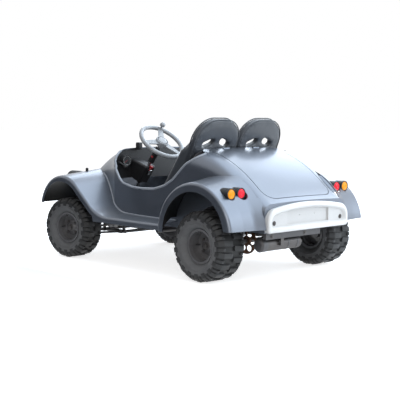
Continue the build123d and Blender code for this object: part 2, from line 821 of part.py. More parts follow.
firewall = extrude(cross_plane(rear(FIREWALL_DX)) * firewall_face, SKIN)
dash_top, dash_crown, dash_shoulder = HOOD_STATIONS[-1][2:]
dash_face = arch(
    DASH_HALF - inside_fit, DASH_FOOT, dash_top - inside_fit, dash_crown, dash_shoulder - inside_fit
)
dash_room = body_loft(FRONT_X, HOOD_STATIONS, BODY_FOOT, inside_fit + WALL_FIT, (0, 0))
dashboard = extrude(cross_plane(DASH_X + DASH_SET) * dash_face, DASH_T) & dash_room
dashboard = dashboard + rod((DASH_X - POD_PROUD, POD_Y, POD_Z), (DASH_X + DASH_SET, POD_Y, POD_Z), POD_R)

# Steering wheel, shaft and column cover
TILT = radians(WHEEL_TILT)
hub_point = Vector(rear(WHEEL_HUB[0]), WHEEL_HUB[1], WHEEL_HUB[2])
wheel_up = Vector(-sin(TILT), 0, cos(TILT))
shaft_end = hub_point - wheel_up * SHAFT_LENGTH
hand_plane = Plane(origin=hub_point, x_dir=(0, -1, 0), z_dir=wheel_up)
steering_wheel = Torus(RIM_MAJOR, RIM_MINOR)
spoke = make_face(
    Polyline(
        (SPOKE_START, -SPOKE_HUB_HALF),
        (RIM_MAJOR, -SPOKE_RIM_HALF),
        (RIM_MAJOR, SPOKE_RIM_HALF),
        (SPOKE_START, SPOKE_HUB_HALF),
        close=True,
    )
)
for angle in SPOKE_ANGLES:
    steering_wheel = steering_wheel + Rot(0, 0, angle) * Pos(0, 0, -SPOKE_T / 2) * extrude(spoke, SPOKE_T)
steering_wheel = steering_wheel + Pos(0, 0, -HUB_DROP) * Cylinder(HUB_R, HUB_H)
knob_at = Rot(0, 0, SPOKE_ANGLES[0]) * Pos(RIM_MAJOR, 0, 0)
steering_wheel = steering_wheel + knob_at * Pos(0, 0, KNOB_STEM_UP) * Cylinder(KNOB_STEM_R, KNOB_STEM_H)
steering_wheel = steering_wheel + knob_at * Pos(0, 0, KNOB_UP) * Sphere(KNOB_R)
steering_wheel = hand_plane * steering_wheel
steering_wheel = steering_wheel + rod(tuple(hub_point), tuple(shaft_end), SHAFT_R)
shaft_hole = rod(tuple(hub_point), tuple(shaft_end), SHAFT_R + LOOSE_FIT)
cover_face = make_face(Polyline(*[(DASH_X + a, b) for a, b in COVER_SIDE], close=True))
column_cover = side_solid(cover_face, WHEEL_HUB[1] - COVER_HALF, WHEEL_HUB[1] + COVER_HALF)
cover_edges = column_cover.edges().filter_by(lambda edge: edge.center().X < DASH_X)
column_cover = fillet(cover_edges, COVER_ROUND)
column_cover = column_cover - shaft_hole
floor_pan = floor_pan - rod(tuple(hub_point), tuple(shaft_end), SHAFT_R + SHAFT_PASS)
lever_foot = (DASH_X + DASH_SET, LEVER_Y, LEVER_Z)
lever_bend = (DASH_X - LEVER_BOSS, LEVER_Y, LEVER_Z)
lever_tip = (DASH_X + LEVER_TIP[0], LEVER_TIP[1], LEVER_TIP[2])
lever_root = (DASH_X + LEVER_ROOT[0], LEVER_ROOT[1], LEVER_ROOT[2])
shift_lever = rod(lever_foot, lever_bend, LEVER_BOSS_R) + rod(lever_root, lever_tip, LEVER_R)
shift_lever = shift_lever + Pos(*lever_tip) * Rot(0, 0, 90) * Sphere(LEVER_GRIP_R)
pedals = []
for pedal_y in PEDAL_YS:
    low = (front(PEDAL_DX), pedal_y - PEDAL_STEM_W / 2, BODY_FOOT)
    high = (front(PEDAL_DX) + PEDAL_STEM_W, pedal_y + PEDAL_STEM_W / 2, BODY_FOOT + PEDAL_STEM_H)
    pad_at = Pos(front(PEDAL_PAD_DX), pedal_y, BODY_FOOT + PEDAL_PAD_UP)
    pedals.append(block(low, high) + pad_at * Rot(0, PEDAL_TILT, 0) * Box(*PEDAL_PAD))

# Seats


def seat(middle):
    lean = radians(SEAT_RECLINE)
    hip = Vector(rear(SEAT_HIP_DX), middle, SEAT_FOOT)
    back_plane = Plane(origin=hip, x_dir=(0, 1, 0), z_dir=(cos(lean), 0, sin(lean)))
    face = make_face(
        Polyline(
            (-BACK_FOOT_HALF, 0),
            (BACK_FOOT_HALF, 0),
            (SEAT_HALF, SEAT_BACK_H),
            (-SEAT_HALF, SEAT_BACK_H),
            close=True,
        )
    )
    face = corners_at(face, [(SEAT_HALF, SEAT_BACK_H), (-SEAT_HALF, SEAT_BACK_H)], SEAT_TOP_CORNER)
    for side in (1, -1):
        hole_at = Pos(side * HARNESS_Y, HARNESS_UP) * Rot(0, 0, -side * HARNESS_TILT)
        face = face - hole_at * SlotOverall(*HARNESS_HOLE)
    shape = extrude(back_plane * face, SEAT_BACK_T)
    low = (hip.X + SEAT_TUCK, middle - CUSHION_HALF, hip.Z)
    high = (hip.X + SEAT_LENGTH, middle + CUSHION_HALF, hip.Z + SEAT_CUSHION)
    shape = shape + block(low, high)
    wing_points = [(SEAT_TUCK, 0), (SEAT_LENGTH, 0)] + WING_TOP
    wing_face = make_face(Polyline(*[(hip.X + a, hip.Z + b) for a, b in wing_points], close=True))
    for low_y in (middle - BOLSTER_OUT, middle + BOLSTER_OUT - BOLSTER_W):
        shape = shape + side_solid(wing_face, low_y, low_y + BOLSTER_W)
    return shape


seat_left = seat(SEAT_Y)
seat_right = seat(-SEAT_Y)
for middle in (SEAT_Y, -SEAT_Y):
    low = (rear(SEAT_HIP_DX) + RISER_BACK, middle - RISER_HALF, BODY_FOOT)
    high = (rear(SEAT_HIP_DX) + SEAT_LENGTH - RISER_FRONT, middle + RISER_HALF, SEAT_FOOT)
    floor_pan = floor_pan + block(low, high)

# Frame, with rails that pass over the rear axle
KICK_Z = REAR_TYRE_R + AXLE_R + AXLE_CLEAR + RAIL_R
frame_pieces = []
for side in (1, -1):
    rail_y = side * RAIL_Y
    hoop_foot = (rear(HOOP_DX), rail_y, RAIL_Z)
    hoop_head = (rear(HOOP_DX), side * HOOP_HALF, HOOP_TOP)
    # Rail behind the axle, ahead of it and over it
    for x_low, x_high, z in (
        (rear(RAIL_BACK), rear(-KICK_HALF), RAIL_Z),
        (rear(KICK_HALF), front(RAIL_FRONT), RAIL_Z),
        (rear(-KICK_HALF), rear(KICK_HALF), KICK_Z),
    ):
        frame_pieces.append(rod((x_low, rail_y, z), (x_high, rail_y, z), RAIL_R))
    for station in (-KICK_HALF, KICK_HALF):
        foot = (rear(station), rail_y, min(RAIL_Z, KICK_Z) - RAIL_R - SLEEVE_WALL)
        head = (rear(station), rail_y, max(RAIL_Z, KICK_Z) + RAIL_R + SLEEVE_WALL)
        frame_pieces.append(rod(foot, head, RAIL_R + SLEEVE_WALL))
    stay_foot = (rear(RAIL_BACK) + STAY_LAP, rail_y, RAIL_Z)
    stay_head = (rear(BAR_FACE) - STAY_LAP, rail_y, RAIL_Z + STAY_RISE)
    frame_pieces.append(rod(stay_foot, stay_head, STAY_R))
    low_rail_back = (front(-LOW_RAIL_END), rail_y, LOW_RAIL_Z)
    frame_pieces.append(rod(low_rail_back, (front(LOW_RAIL_END), rail_y, LOW_RAIL_Z), LOW_RAIL_R))
    for station in (-LOW_POST, LOW_POST):
        post_head = (front(station), rail_y, RAIL_Z)
        frame_pieces.append(rod((front(station), rail_y, LOW_RAIL_Z), post_head, STAY_R))
    frame_pieces.append(rod((FRONT_X, rail_y, RAIL_Z), (FRONT_X, rail_y, TOWER_Z), STAY_R))
    frame_pieces.append(rod(hoop_foot, hoop_head, HOOP_R))
    frame_pieces.append(Pos(*hoop_head) * Sphere(HOOP_R + HOOP_JOINT))
for x in (rear(OUTRIGGER_BACK), front(OUTRIGGER_FRONT)):
    outrigger = y_rod(x, PAN_FOOT - OUTRIGGER_R, -OUTRIGGER_END, OUTRIGGER_END, OUTRIGGER_R)
    frame_pieces.append(outrigger)
frame_pieces.append(y_rod(FRONT_X, TOWER_Z, -TOWER_HALF, TOWER_HALF, LOW_RAIL_R))
frame_pieces.append(y_rod(rear(HOOP_DX), HOOP_TOP, -HOOP_HALF, HOOP_HALF, HOOP_R))
frame_pieces.append(y_rod(rear(PIVOT_DX), PIVOT_Z, -PIVOT_HALF, PIVOT_HALF, CROSS_R))
for station in ENGINE_CROSSES:
    frame_pieces.append(y_rod(rear(station), RAIL_Z, -RAIL_Y, RAIL_Y, CROSS_R))
frame_pieces.append(y_rod(front(NOSE_CROSS_DX), RAIL_Z, -NOSE_CROSS_HALF, NOSE_CROSS_HALF, CROSS_R))
for station in (-LOW_POST, LOW_POST):
    frame_pieces.append(y_rod(front(station), LOW_RAIL_Z, -RAIL_Y, RAIL_Y, STAY_R))
chassis_frame = frame_pieces[0].fuse(*frame_pieces[1:])
bar_x = rear(BAR_FACE)
chassis_frame = chassis_frame - block((bar_x - FAR, -FAR, 0), (bar_x, FAR, TALL))
rear_bar = block((bar_x - BAR_T, -BAR_RIGHT, BAR_FOOT), (bar_x, BAR_LEFT, BAR_FOOT + BAR_H))
rear_bar = rear_bar - block(
    (bar_x - BAR_T + BAR_WALL, -BAR_RIGHT - PAST, BAR_FOOT + BAR_WALL),
    (bar_x - BAR_WALL, BAR_LEFT - BAR_PLUG, BAR_FOOT + BAR_H - BAR_WALL),
)

# Engine block and muffler
ENGINE_FOOT = RAIL_Z + CROSS_R
engine = block(
    (rear(ENGINE_CROSSES[0]) - CASE_LAP, -CASE_RIGHT, ENGINE_FOOT),
    (rear(CASE_FRONT), CASE_LEFT, ENGINE_FOOT + CASE_H),
)
engine = engine + block(
    (rear(BARREL_BACK), -BARREL_RIGHT, ENGINE_FOOT + CASE_H - CASE_JOIN),
    (rear(BARREL_FRONT), BARREL_LEFT, ENGINE_FOOT + BARREL_TOP),
)
engine = engine + block(
    (rear(CASE_FRONT - CASE_JOIN), -ENGINE_NOSE_HALF, ENGINE_FOOT),
    (rear(ENGINE_CROSSES[1]) + ENGINE_NOSE_LAP, ENGINE_NOSE_HALF, ENGINE_FOOT + ENGINE_NOSE_H),
)
drive_x = rear(DRIVE_DX)
engine = engine + y_rod(drive_x, DRIVE_Z, SPROCKET_Y - DRIVE_STUB, DRIVE_SHAFT_END, DRIVE_SHAFT_R)
engine = engine + y_rod(drive_x, DRIVE_Z, SPROCKET_Y - DRIVE_T / 2, SPROCKET_Y + DRIVE_T / 2, DRIVE_R)
muffler_x = rear(MUFFLER_DX)
muffler = y_rod(muffler_x, MUFFLER_Z, MUFFLER_RIGHT, MUFFLER_LEFT, MUFFLER_R)
muffler = fillet(muffler.edges(), MUFFLER_ROUND)
muffler = muffler + y_rod(muffler_x, MUFFLER_Z, -PIPE_HALF, PIPE_HALF, PIPE_R)
bracket_low = (bar_x - BRACKET_BACK, BRACKET_RIGHT, MUFFLER_Z - BRACKET_T)
muffler = muffler + block(bracket_low, (muffler_x, BRACKET_LEFT, MUFFLER_Z + BRACKET_T))
muffler = muffler + block(bracket_low, (bar_x - BRACKET_BACK + BRACKET_T, BRACKET_LEFT, BAR_FOOT))

# Rear axle, brake and drive
AXLE_END = REAR_TYRE_Y + AXLE_PROUD
rear_axle = y_rod(REAR_X, REAR_TYRE_R, -AXLE_END, AXLE_END, AXLE_R)
axle_hole = y_rod(REAR_X, REAR_TYRE_R, -FAR, FAR, AXLE_R)
brake_disc = y_rod(REAR_X, REAR_TYRE_R, DISC_Y - DISC_T / 2, DISC_Y + DISC_T / 2, DISC_R)
for n in range(DISC_HOLES):
    turn = radians(360 * n / DISC_HOLES)
    spot = (REAR_X + DISC_HOLE_AT * cos(turn), REAR_TYRE_R + DISC_HOLE_AT * sin(turn))
    brake_disc = brake_disc - y_rod(spot[0], spot[1], DISC_Y - PAST, DISC_Y + PAST, DISC_HOLE_R)
carrier = y_rod(REAR_X, REAR_TYRE_R, DISC_Y - CARRIER_L, DISC_Y + DISC_T / 2, CARRIER_R)
brake_disc = brake_disc + carrier - axle_hole
sprocket_low = SPROCKET_Y - SPROCKET_T / 2
sprocket = y_rod(REAR_X, REAR_TYRE_R, sprocket_low, sprocket_low + SPROCKET_T, SPROCKET_R)
sprocket_hub = y_rod(REAR_X, REAR_TYRE_R, sprocket_low, SPROCKET_Y + SPROCKET_HUB_L, SPROCKET_HUB_R)
sprocket = sprocket + sprocket_hub - axle_hole


def chain_loop(grow):
    circles = [
        Pos(REAR_X, REAR_TYRE_R) * Circle(SPROCKET_R + grow),
        Pos(rear(DRIVE_DX), DRIVE_Z) * Circle(DRIVE_R + grow),
    ]
    return make_hull([edge for circle in circles for edge in circle.edges()])


chain_face = chain_loop(CHAIN_GAP + CHAIN_H) - chain_loop(CHAIN_GAP)
chain = side_solid(chain_face, SPROCKET_Y - CHAIN_W / 2, SPROCKET_Y + CHAIN_W / 2)
axle_eye = Pos(REAR_X, REAR_TYRE_R) * Circle(SWING_AXLE_R)
pivot_eye = Pos(rear(PIVOT_DX), PIVOT_Z) * Circle(SWING_PIVOT_R)
arm_face = make_hull(axle_eye.edges() + pivot_eye.edges())
bearing = y_rod(REAR_X, REAR_TYRE_R, SWING_IN - BEARING_IN, SWING_IN + SWING_T + BEARING_OUT, BEARING_R)
swing_side = side_solid(arm_face, SWING_IN, SWING_IN + SWING_T) + bearing
brace = y_rod(rear(BRACE_DX), BRACE_Z, -BRACE_HALF, BRACE_HALF, BRACE_R)
swing_arm = swing_side + flip(swing_side) + brace
swing_arm = swing_arm - y_rod(REAR_X, REAR_TYRE_R, -FAR, FAR, AXLE_R + RUN_FIT)
swing_arm = swing_arm - y_rod(rear(PIVOT_DX), PIVOT_Z, -FAR, FAR, CROSS_R + RUN_FIT)
caliper = block(
    (rear(CALIPER_BACK), DISC_Y - CALIPER_HALF, CALIPER_FOOT),
    (rear(CALIPER_FRONT), DISC_Y + CALIPER_HALF, CALIPER_TOP),
)
caliper = caliper - block(
    (REAR_X, DISC_Y - CALIPER_SLOT, CALIPER_FOOT - PAST),
    (rear(CALIPER_FRONT - CALIPER_BRIDGE), DISC_Y + CALIPER_SLOT, CALIPER_TOP + PAST),
)
caliper = caliper + block(
    (rear(CALIPER_ARM_BACK), DISC_Y + CALIPER_HALF - CALIPER_ARM_LAP, CALIPER_ARM_FOOT),
    (rear(CALIPER_ARM_FRONT), SWING_IN, CALIPER_ARM_TOP),
)


def shock(low, high):
    start = Vector(*low)
    end = Vector(*high)
    run = end - start
    coil_low, coil_high, cap_high = (
        tuple(start + run * share) for share in (SHOCK_COIL_LOW, SHOCK_COIL_HIGH, SHOCK_CAP_HIGH)
    )
    body = rod(low, high, SHOCK_ROD_R)
    body = body + rod(coil_low, coil_high, SHOCK_COIL_R)
    return body + rod(coil_high, cap_high, SHOCK_CAP_R)


low_eye = SWING_IN + SWING_T + SEAM
high_eye = HOOP_HALF + HOOP_R + HOOP_JOINT + SEAM
rear_shock = shock(
    (rear(REAR_SHOCK_DX), REAR_SHOCK_Y, REAR_SHOCK_Z + SHOCK_EYE_LIFT),
    (rear(HOOP_DX), REAR_SHOCK_Y, HOOP_TOP - SHOCK_EYE_DROP),
)
low_pin = y_rod(rear(REAR_SHOCK_DX), REAR_SHOCK_Z, low_eye, low_eye + SHOCK_EYE_L, SHOCK_EYE_R)
high_pin = y_rod(rear(HOOP_DX), HOOP_TOP, high_eye, high_eye + SHOCK_EYE_L, SHOCK_EYE_R)
rear_shock = rear_shock + low_pin + high_pin
rear_shocks = [rear_shock, flip(rear_shock)]

# Front suspension and knuckles, built for straight ahead
arm_left = []
high_reach = ARM_REACH - HIGH_ARM_SHORT
for z, rail_r, half in ((LOW_ARM_Z, LOW_RAIL_R, ARM_REACH), (HIGH_ARM_Z, RAIL_R, high_reach)):
    bush_y = RAIL_Y + rail_r + SEAM + BUSH_R
    pivot_z = LOW_RAIL_Z if z == LOW_ARM_Z else RAIL_Z
    arm = Pos(FRONT_X, KINGPIN_Y, z) * Cylinder(ARM_RING_R, ARM_RING_H)
    for end in (1, -1):
        bush = (front(end * half), bush_y, pivot_z)
        bush_back = (bush[0] - BUSH_HALF, bush_y, pivot_z)
        arm = arm + rod(bush_back, (bush[0] + BUSH_HALF, bush_y, pivot_z), BUSH_R)
        arm = arm + rod(bush, (FRONT_X + end * ARM_TIP_DX, KINGPIN_Y - ARM_TIP_IN, z), ARM_R)
    if z == LOW_ARM_Z:
        bar_back = (front(-SHOCK_BAR_HALF), SHOCK_FOOT_Y, z)
        arm = arm + rod(bar_back, (front(SHOCK_BAR_HALF), SHOCK_FOOT_Y, z), SHOCK_BAR_R)
    bore_foot = (FRONT_X, KINGPIN_Y, z - PAST)
    arm = arm - rod(bore_foot, (FRONT_X, KINGPIN_Y, z + PAST), KINGPIN_R + RUN_FIT)
    arm_left.append(arm)
shock_foot = (FRONT_X, SHOCK_FOOT_Y, LOW_ARM_Z + 2 * SHOCK_BAR_R + SEAM)
shock_top = (FRONT_X, SHOCK_TOP_Y, TOWER_Z - LOW_RAIL_R - SEAM - SHOCK_BAR_R)
front_shock = shock(shock_foot, shock_top)
for x, y, z in (shock_foot, shock_top):
    front_shock = front_shock + rod((x - SHOCK_PIN_HALF, y, z), (x + SHOCK_PIN_HALF, y, z), SHOCK_BAR_R)
front_shocks = [front_shock, flip(front_shock)]

knuckle_low = (FRONT_X, KINGPIN_Y, LOW_ARM_Z + ARM_RING_H / 2 + KNUCKLE_GAP)
knuckle_high = (FRONT_X, KINGPIN_Y, HIGH_ARM_Z - ARM_RING_H / 2 - KNUCKLE_GAP)
pin_low = (FRONT_X, KINGPIN_Y, LOW_ARM_Z - KINGPIN_PROUD)
pin_high = (FRONT_X, KINGPIN_Y, HIGH_ARM_Z + KINGPIN_PROUD)
stub_root = (FRONT_X, KINGPIN_Y, FRONT_TYRE_R)
knuckle = rod(knuckle_low, knuckle_high, KNUCKLE_R) + rod(pin_low, pin_high, KINGPIN_R)
knuckle = knuckle + rod(stub_root, (FRONT_X, FRONT_TYRE_Y + STUB_END, FRONT_TYRE_R), STUB_R)
knuckle = knuckle + rod(stub_root, (FRONT_X, KINGPIN_Y + BOSS_L, FRONT_TYRE_R), BOSS_R)
plate_top = RACK_Z - EYE_H / 2 - KNUCKLE_GAP
plate_root = Pos(FRONT_X, KINGPIN_Y) * Circle(STEER_ARM_ROOT_R)
plate_tip = Pos(FRONT_X - STEER_ARM, KINGPIN_Y) * Circle(STEER_ARM_TIP_R)
arm_plate = make_hull(plate_root.edges() + plate_tip.edges())
knuckle = knuckle + Pos(0, 0, plate_top - STEER_ARM_T) * extrude(arm_plate, STEER_ARM_T)


def steered(shape, side):
    pivot = Axis((FRONT_X, side * KINGPIN_Y, 0), (0, 0, 1))
    return shape.rotate(pivot, STEER_REST)


knuckle_left = steered(knuckle, 1)
knuckle_right = steered(flip(knuckle), -1)

# Rack with tie rods, and the housing it slides in
turn = radians(STEER_REST)
rack_x = FRONT_X - STEER_ARM * cos(turn)
rack_shift = -STEER_ARM * sin(turn)
steering_rack = y_rod(rack_x, RACK_Z, rack_shift - KINGPIN_Y, rack_shift + KINGPIN_Y, RACK_R)
for side in (1, -1):
    eye = (rack_x, side * KINGPIN_Y + rack_shift, RACK_Z)
    steering_rack = steering_rack + Pos(*eye) * Cylinder(EYE_R, EYE_H)
rack_housing = y_rod(rack_x, RACK_Z, -HOUSING_RIGHT, HOUSING_LEFT, HOUSING_R)
pinion_low = shaft_end - wheel_up * PINION_LOW
pinion_high = shaft_end + wheel_up * PINION_HIGH
rack_housing = rack_housing + rod(tuple(pinion_low), tuple(pinion_high), PINION_R)
for side in (1, -1):
    low = (rack_x - HOUSING_LUG, side * RAIL_Y - HOUSING_LUG, RACK_Z)
    high = (rack_x + HOUSING_LUG, side * RAIL_Y + HOUSING_LUG, RAIL_Z)
    saddle_back = (rack_x - PAST, side * RAIL_Y, RAIL_Z)
    saddle = rod(saddle_back, (rack_x + PAST, side * RAIL_Y, RAIL_Z), RAIL_R + SEAM)
    rack_housing = rack_housing + block(low, high) - saddle
rack_housing = rack_housing - y_rod(rack_x, RACK_Z, -FAR, FAR, RACK_R + LOOSE_FIT)
rack_housing = rack_housing - shaft_hole

# Wheels, built about the Y axis with the outside towards +Y


def faceted(points):
    rings = []
    for y, r in points:
        plane = Plane(origin=(0, y, 0), x_dir=(1, 0, 0), z_dir=(0, -1, 0))
        rings.append(plane * RegularPolygon(r / cos(radians(180 / TYRE_SIDES)), TYRE_SIDES))
    return loft(rings, ruled=True)


def tyre_solid(radius, width):
    half = width / 2
    base = radius - LUG_H
    carcass = faceted(
        [
            (-RIM_SHARE * half, RIM_R + RIM_LIP + SEAM),
            (-BULGE_SHARE * half, BULGE_R),
            (-SHOULDER_SHARE * half, base - SHOULDER_DROP),
            (-TREAD_SHARE * half, base),
            (TREAD_SHARE * half, base),
            (SHOULDER_SHARE * half, base - SHOULDER_DROP),
            (BULGE_SHARE * half, BULGE_R),
            (RIM_SHARE * half, RIM_R + RIM_LIP + SEAM),
        ]
    )
    bore = Plane(origin=(0, half, 0), x_dir=(1, 0, 0), z_dir=(0, -1, 0)) * RegularPolygon(
        (RIM_R + SEAM) / cos(radians(180 / TYRE_SIDES)), TYRE_SIDES
    )
    carcass = carcass - extrude(bore, width)
    lug_face = make_face(
        Polyline(
            (LUG_START * half, base - LUG_ROOT),
            (LUG_START * half, radius),
            (LUG_FLAT * half, radius),
            (half, radius - LUG_BEVEL),
            (half, radius - LUG_SKIRT),
            (LUG_TOE * half, radius - LUG_SKIRT),
            (LUG_HEEL * half, base - LUG_ROOT),
            close=True,
        )
    )
    lug_plane = Plane(origin=(0, 0, 0), x_dir=(0, 1, 0), z_dir=(1, 0, 0))
    lug = extrude(lug_plane * lug_face, LUG_W / 2, both=True)
    lugs = []
    for n in range(LUGS):
        lugs.append(Rot(0, 360 * n / LUGS, 0) * lug)
        lugs.append(Rot(0, 360 * (n + 0.5) / LUGS, 0) * flip(lug))
    return carcass.fuse(*lugs)


def rim_solid(width, dish, hub_low, hub_high, bore):
    half = RIM_SHARE * width / 2 + SEAM
    lip = RIM_R + RIM_LIP
    profile = Polyline(
        (-half, RIM_R),
        (-half - LIP_IN, lip),
        (-half - LIP_OUT, lip),
        (-half - LIP_FLARE, RIM_R - BEAD_SEAT_T),
        (-half + BEAD_SEAT_W, RIM_R - BEAD_SEAT_T),
        (-half + BEAD_SEAT_W + WELL_RAMP, RIM_R - WELL_DEPTH),
        (dish - RIM_DISC_T, RIM_R - WELL_DEPTH),
        (dish - RIM_DISC_T, NAVE_R),
        (hub_low, NAVE_R),
        (hub_low, bore),
        (hub_high, bore),
        (hub_high, NOSE_R),
        (dish + CONE_H, NAVE_R),
        (dish, CONE_R),
        (dish, RIM_R - WELL_FACE),
        (half - BEAD_SEAT_W, RIM_R - WELL_FACE),
        (half + LIP_FLARE, RIM_R - FLARE_FACE),
        (half + LIP_OUT, lip),
        (half + LIP_IN, lip),
        (half, RIM_R),
        close=True,
    )
    plane = Plane(origin=(0, 0, 0), x_dir=(0, 1, 0), z_dir=(0, 0, -1))
    return revolve(plane * make_face(profile), Axis((0, 0, 0), (0, 1, 0)))


front_rim = rim_solid(FRONT_TYRE_W, FRONT_DISH, FRONT_HUB_LOW, FRONT_HUB_HIGH, STUB_R + RUN_FIT)
rear_rim = rim_solid(REAR_TYRE_W, REAR_DISH, REAR_HUB_LOW, REAR_HUB_HIGH, AXLE_R)
front_tyre = tyre_solid(FRONT_TYRE_R, FRONT_TYRE_W)
rear_tyre = tyre_solid(REAR_TYRE_R, REAR_TYRE_W)


def wheel_at(shape, x, y, z, side):
    placed = shape if side == 1 else flip(shape)
    return Pos(x, side * y, z) * placed


nodes = {
    "nose_panel": nose_panel,
    "grille": grille,
    "cowl": cowl,
    "side_panel_left": side_panel_left,
    "side_panel_right": flip(side_panel_left),
    "tail_shell": tail_shell,
    "tail_lid": lid,
    "front_fender_left": front_fender_left,
    "front_fender_right": flip(front_fender_left),
    "rear_fender_left": rear_fender_left,
    "rear_fender_right": flip(rear_fender_left),
    "rear_panel": rear_panel,
    "lamp_housings": Compound(lamp_housings),
    "red_lenses": Compound(red_lenses),
    "amber_lenses": Compound(amber_lenses),
    "headlamp_shells": Compound(head_shells),
    "headlamp_lenses": Compound(head_lenses),
    "fender_markers": Compound(markers),
    "floor_pan": floor_pan,
    "firewall": firewall,
    "dashboard": dashboard,
    "column_cover": column_cover,
    "shift_lever": shift_lever,
    "pedals": Compound(pedals),
    "seat_left": seat_left,
    "seat_right": seat_right,
    "chassis_frame": chassis_frame,
    "rear_bar": rear_bar,
    "engine": engine,
    "muffler": muffler,
    "swing_arm": swing_arm,
    "rear_shocks": Compound(rear_shocks),
    "brake_caliper": caliper,
    "chain": chain,
    "control_arms": Compound(arm_left + [flip(arm) for arm in arm_left]),
    "front_shocks": Compound(front_shocks),
    "rack_housing": rack_housing,
    "steering_wheel": steering_wheel,
    "steering_rack": steering_rack,
    "knuckle_left": knuckle_left,
    "knuckle_right": knuckle_right,
    "rear_axle": rear_axle,
    "brake_disc": brake_disc,
    "sprocket": sprocket,
}
for name, side in (("left", 1), ("right", -1)):
    front_parts = (("tyre", front_tyre), ("rim", front_rim))
    rear_parts = (("tyre", rear_tyre), ("rim", rear_rim))
    for kind, shape in front_parts:
        placed = wheel_at(shape, FRONT_X, FRONT_TYRE_Y, FRONT_TYRE_R, side)
        nodes[f"{kind}_front_{name}"] = steered(placed, side)
    for kind, shape in rear_parts:
        nodes[f"{kind}_rear_{name}"] = wheel_at(shape, REAR_X, REAR_TYRE_Y, REAR_TYRE_R, side)

os.makedirs("parts", exist_ok=True)
for name, shape in nodes.items():
    export_step(shape, f"parts/{name}.step")
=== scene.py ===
import json
from math import acos, atan2, cos, hypot, pi, radians, sin, tau

import bmesh
import bpy
from mathutils import Matrix, Vector
from mathutils.bvhtree import BVHTree


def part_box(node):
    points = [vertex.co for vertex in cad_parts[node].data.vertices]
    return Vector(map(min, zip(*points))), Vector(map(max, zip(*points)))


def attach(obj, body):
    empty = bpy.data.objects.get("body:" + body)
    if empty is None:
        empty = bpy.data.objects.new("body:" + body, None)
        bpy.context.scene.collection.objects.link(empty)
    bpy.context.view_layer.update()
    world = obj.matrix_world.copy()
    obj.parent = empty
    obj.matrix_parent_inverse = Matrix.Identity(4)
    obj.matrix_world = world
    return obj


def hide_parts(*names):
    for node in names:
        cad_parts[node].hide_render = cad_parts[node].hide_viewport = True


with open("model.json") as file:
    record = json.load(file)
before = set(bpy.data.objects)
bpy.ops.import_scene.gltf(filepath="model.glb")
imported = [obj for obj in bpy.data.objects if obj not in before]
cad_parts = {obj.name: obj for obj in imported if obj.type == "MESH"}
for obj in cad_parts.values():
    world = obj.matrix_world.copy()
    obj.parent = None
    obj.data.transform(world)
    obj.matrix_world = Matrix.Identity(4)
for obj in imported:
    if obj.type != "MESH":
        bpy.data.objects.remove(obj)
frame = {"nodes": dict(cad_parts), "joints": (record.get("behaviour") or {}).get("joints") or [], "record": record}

# Open two-seat terrain vehicle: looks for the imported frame. Metres, +X forward, +Y left, +Z up.
scene = bpy.context.scene
nodes = frame["nodes"]
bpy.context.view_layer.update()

# Layout read from the frame
JOINTS = {joint["name"]: joint for joint in frame["joints"]}
SIDES = (("left", 1), ("right", -1))
rear_low, rear_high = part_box("tyre_rear_left")
axle_low, axle_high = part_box("rear_axle")
REAR_X = (axle_low.x + axle_high.x) / 2
REAR_Z = (axle_low.z + axle_high.z) / 2
REAR_TYRE_Y = (rear_low.y + rear_high.y) / 2
REAR_TYRE_W = rear_high.y - rear_low.y
REAR_TYRE_R = rear_high.z / 2
FRONT_TYRE_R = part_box("tyre_front_left")[1].z / 2
KINGPIN = Vector(JOINTS["steer_left"]["pos_m"])
WHEEL_HUB = Vector(JOINTS["steering"]["pos_m"])
WHEEL_AXIS = Vector(JOINTS["steering"]["axis"]).normalized()
REAR_ARCH = Vector((REAR_X + 0.025, 0, 0.3))
FRONT_ARCH = Vector((KINGPIN.x, 0, 0.225))

# Tyres: blocks as (share of the half width, depth below the tread), the wall as (share, radius) and the crown as
# (share, height over the tread's floor)
FRONT_TYRE_W = 0.186
RIM_SEAT_R = 0.113
RIM_SHARE = 0.62
BEAD_DEPTH = 0.0105
BEAD_INSET = 0.004
TYRE_STEPS = 144
TYRE_WALL = (
    (0.74, 0.121), (0.88, 0.134), (0.95, 0.147), (0.965, 0.15), (0.965, 0.153), (0.955, 0.155), (0.975, 0.166),
    (0.98, 0.172), (0.965, 0.174), (0.98, 0.178),
)
TYRE_CROWN = ((0.97, -0.026), (0.9, -0.012), (0.76, -0.002), (0.5, 0), (0.2, 0.0005))
LUG_COUNT = 18
LUG_HEIGHT = 0.015
LUG_ROOT = LUG_HEIGHT + 0.004
LUG_WIDTH = 0.034
LUG_SLANT = 0.08
LUG_BEVEL = 0.0028
LUG_OUTLINE = (
    (0.06, LUG_ROOT), (0.06, 0.002), (0.7, 0.002), (0.985, 0.026), (0.985, 0.06), (0.9, 0.064),
    (0.6, LUG_ROOT),
)
KNOB_WIDTH = 0.02
KNOB_BEVEL = 0.0024
KNOB_OUTLINE = ((0.56, LUG_ROOT), (0.6, 0.005), (0.76, 0.006), (0.975, 0.03), (0.975, 0.046), (0.86, 0.046))
SHOULDER_DEPTH = 0.03
# Painted shade on the tread: the share that the blocks get, and the tint at full shade, which the grooves get
BLOCK_SHADE = 0.8
FULL_SHADE_TINT = 0.1

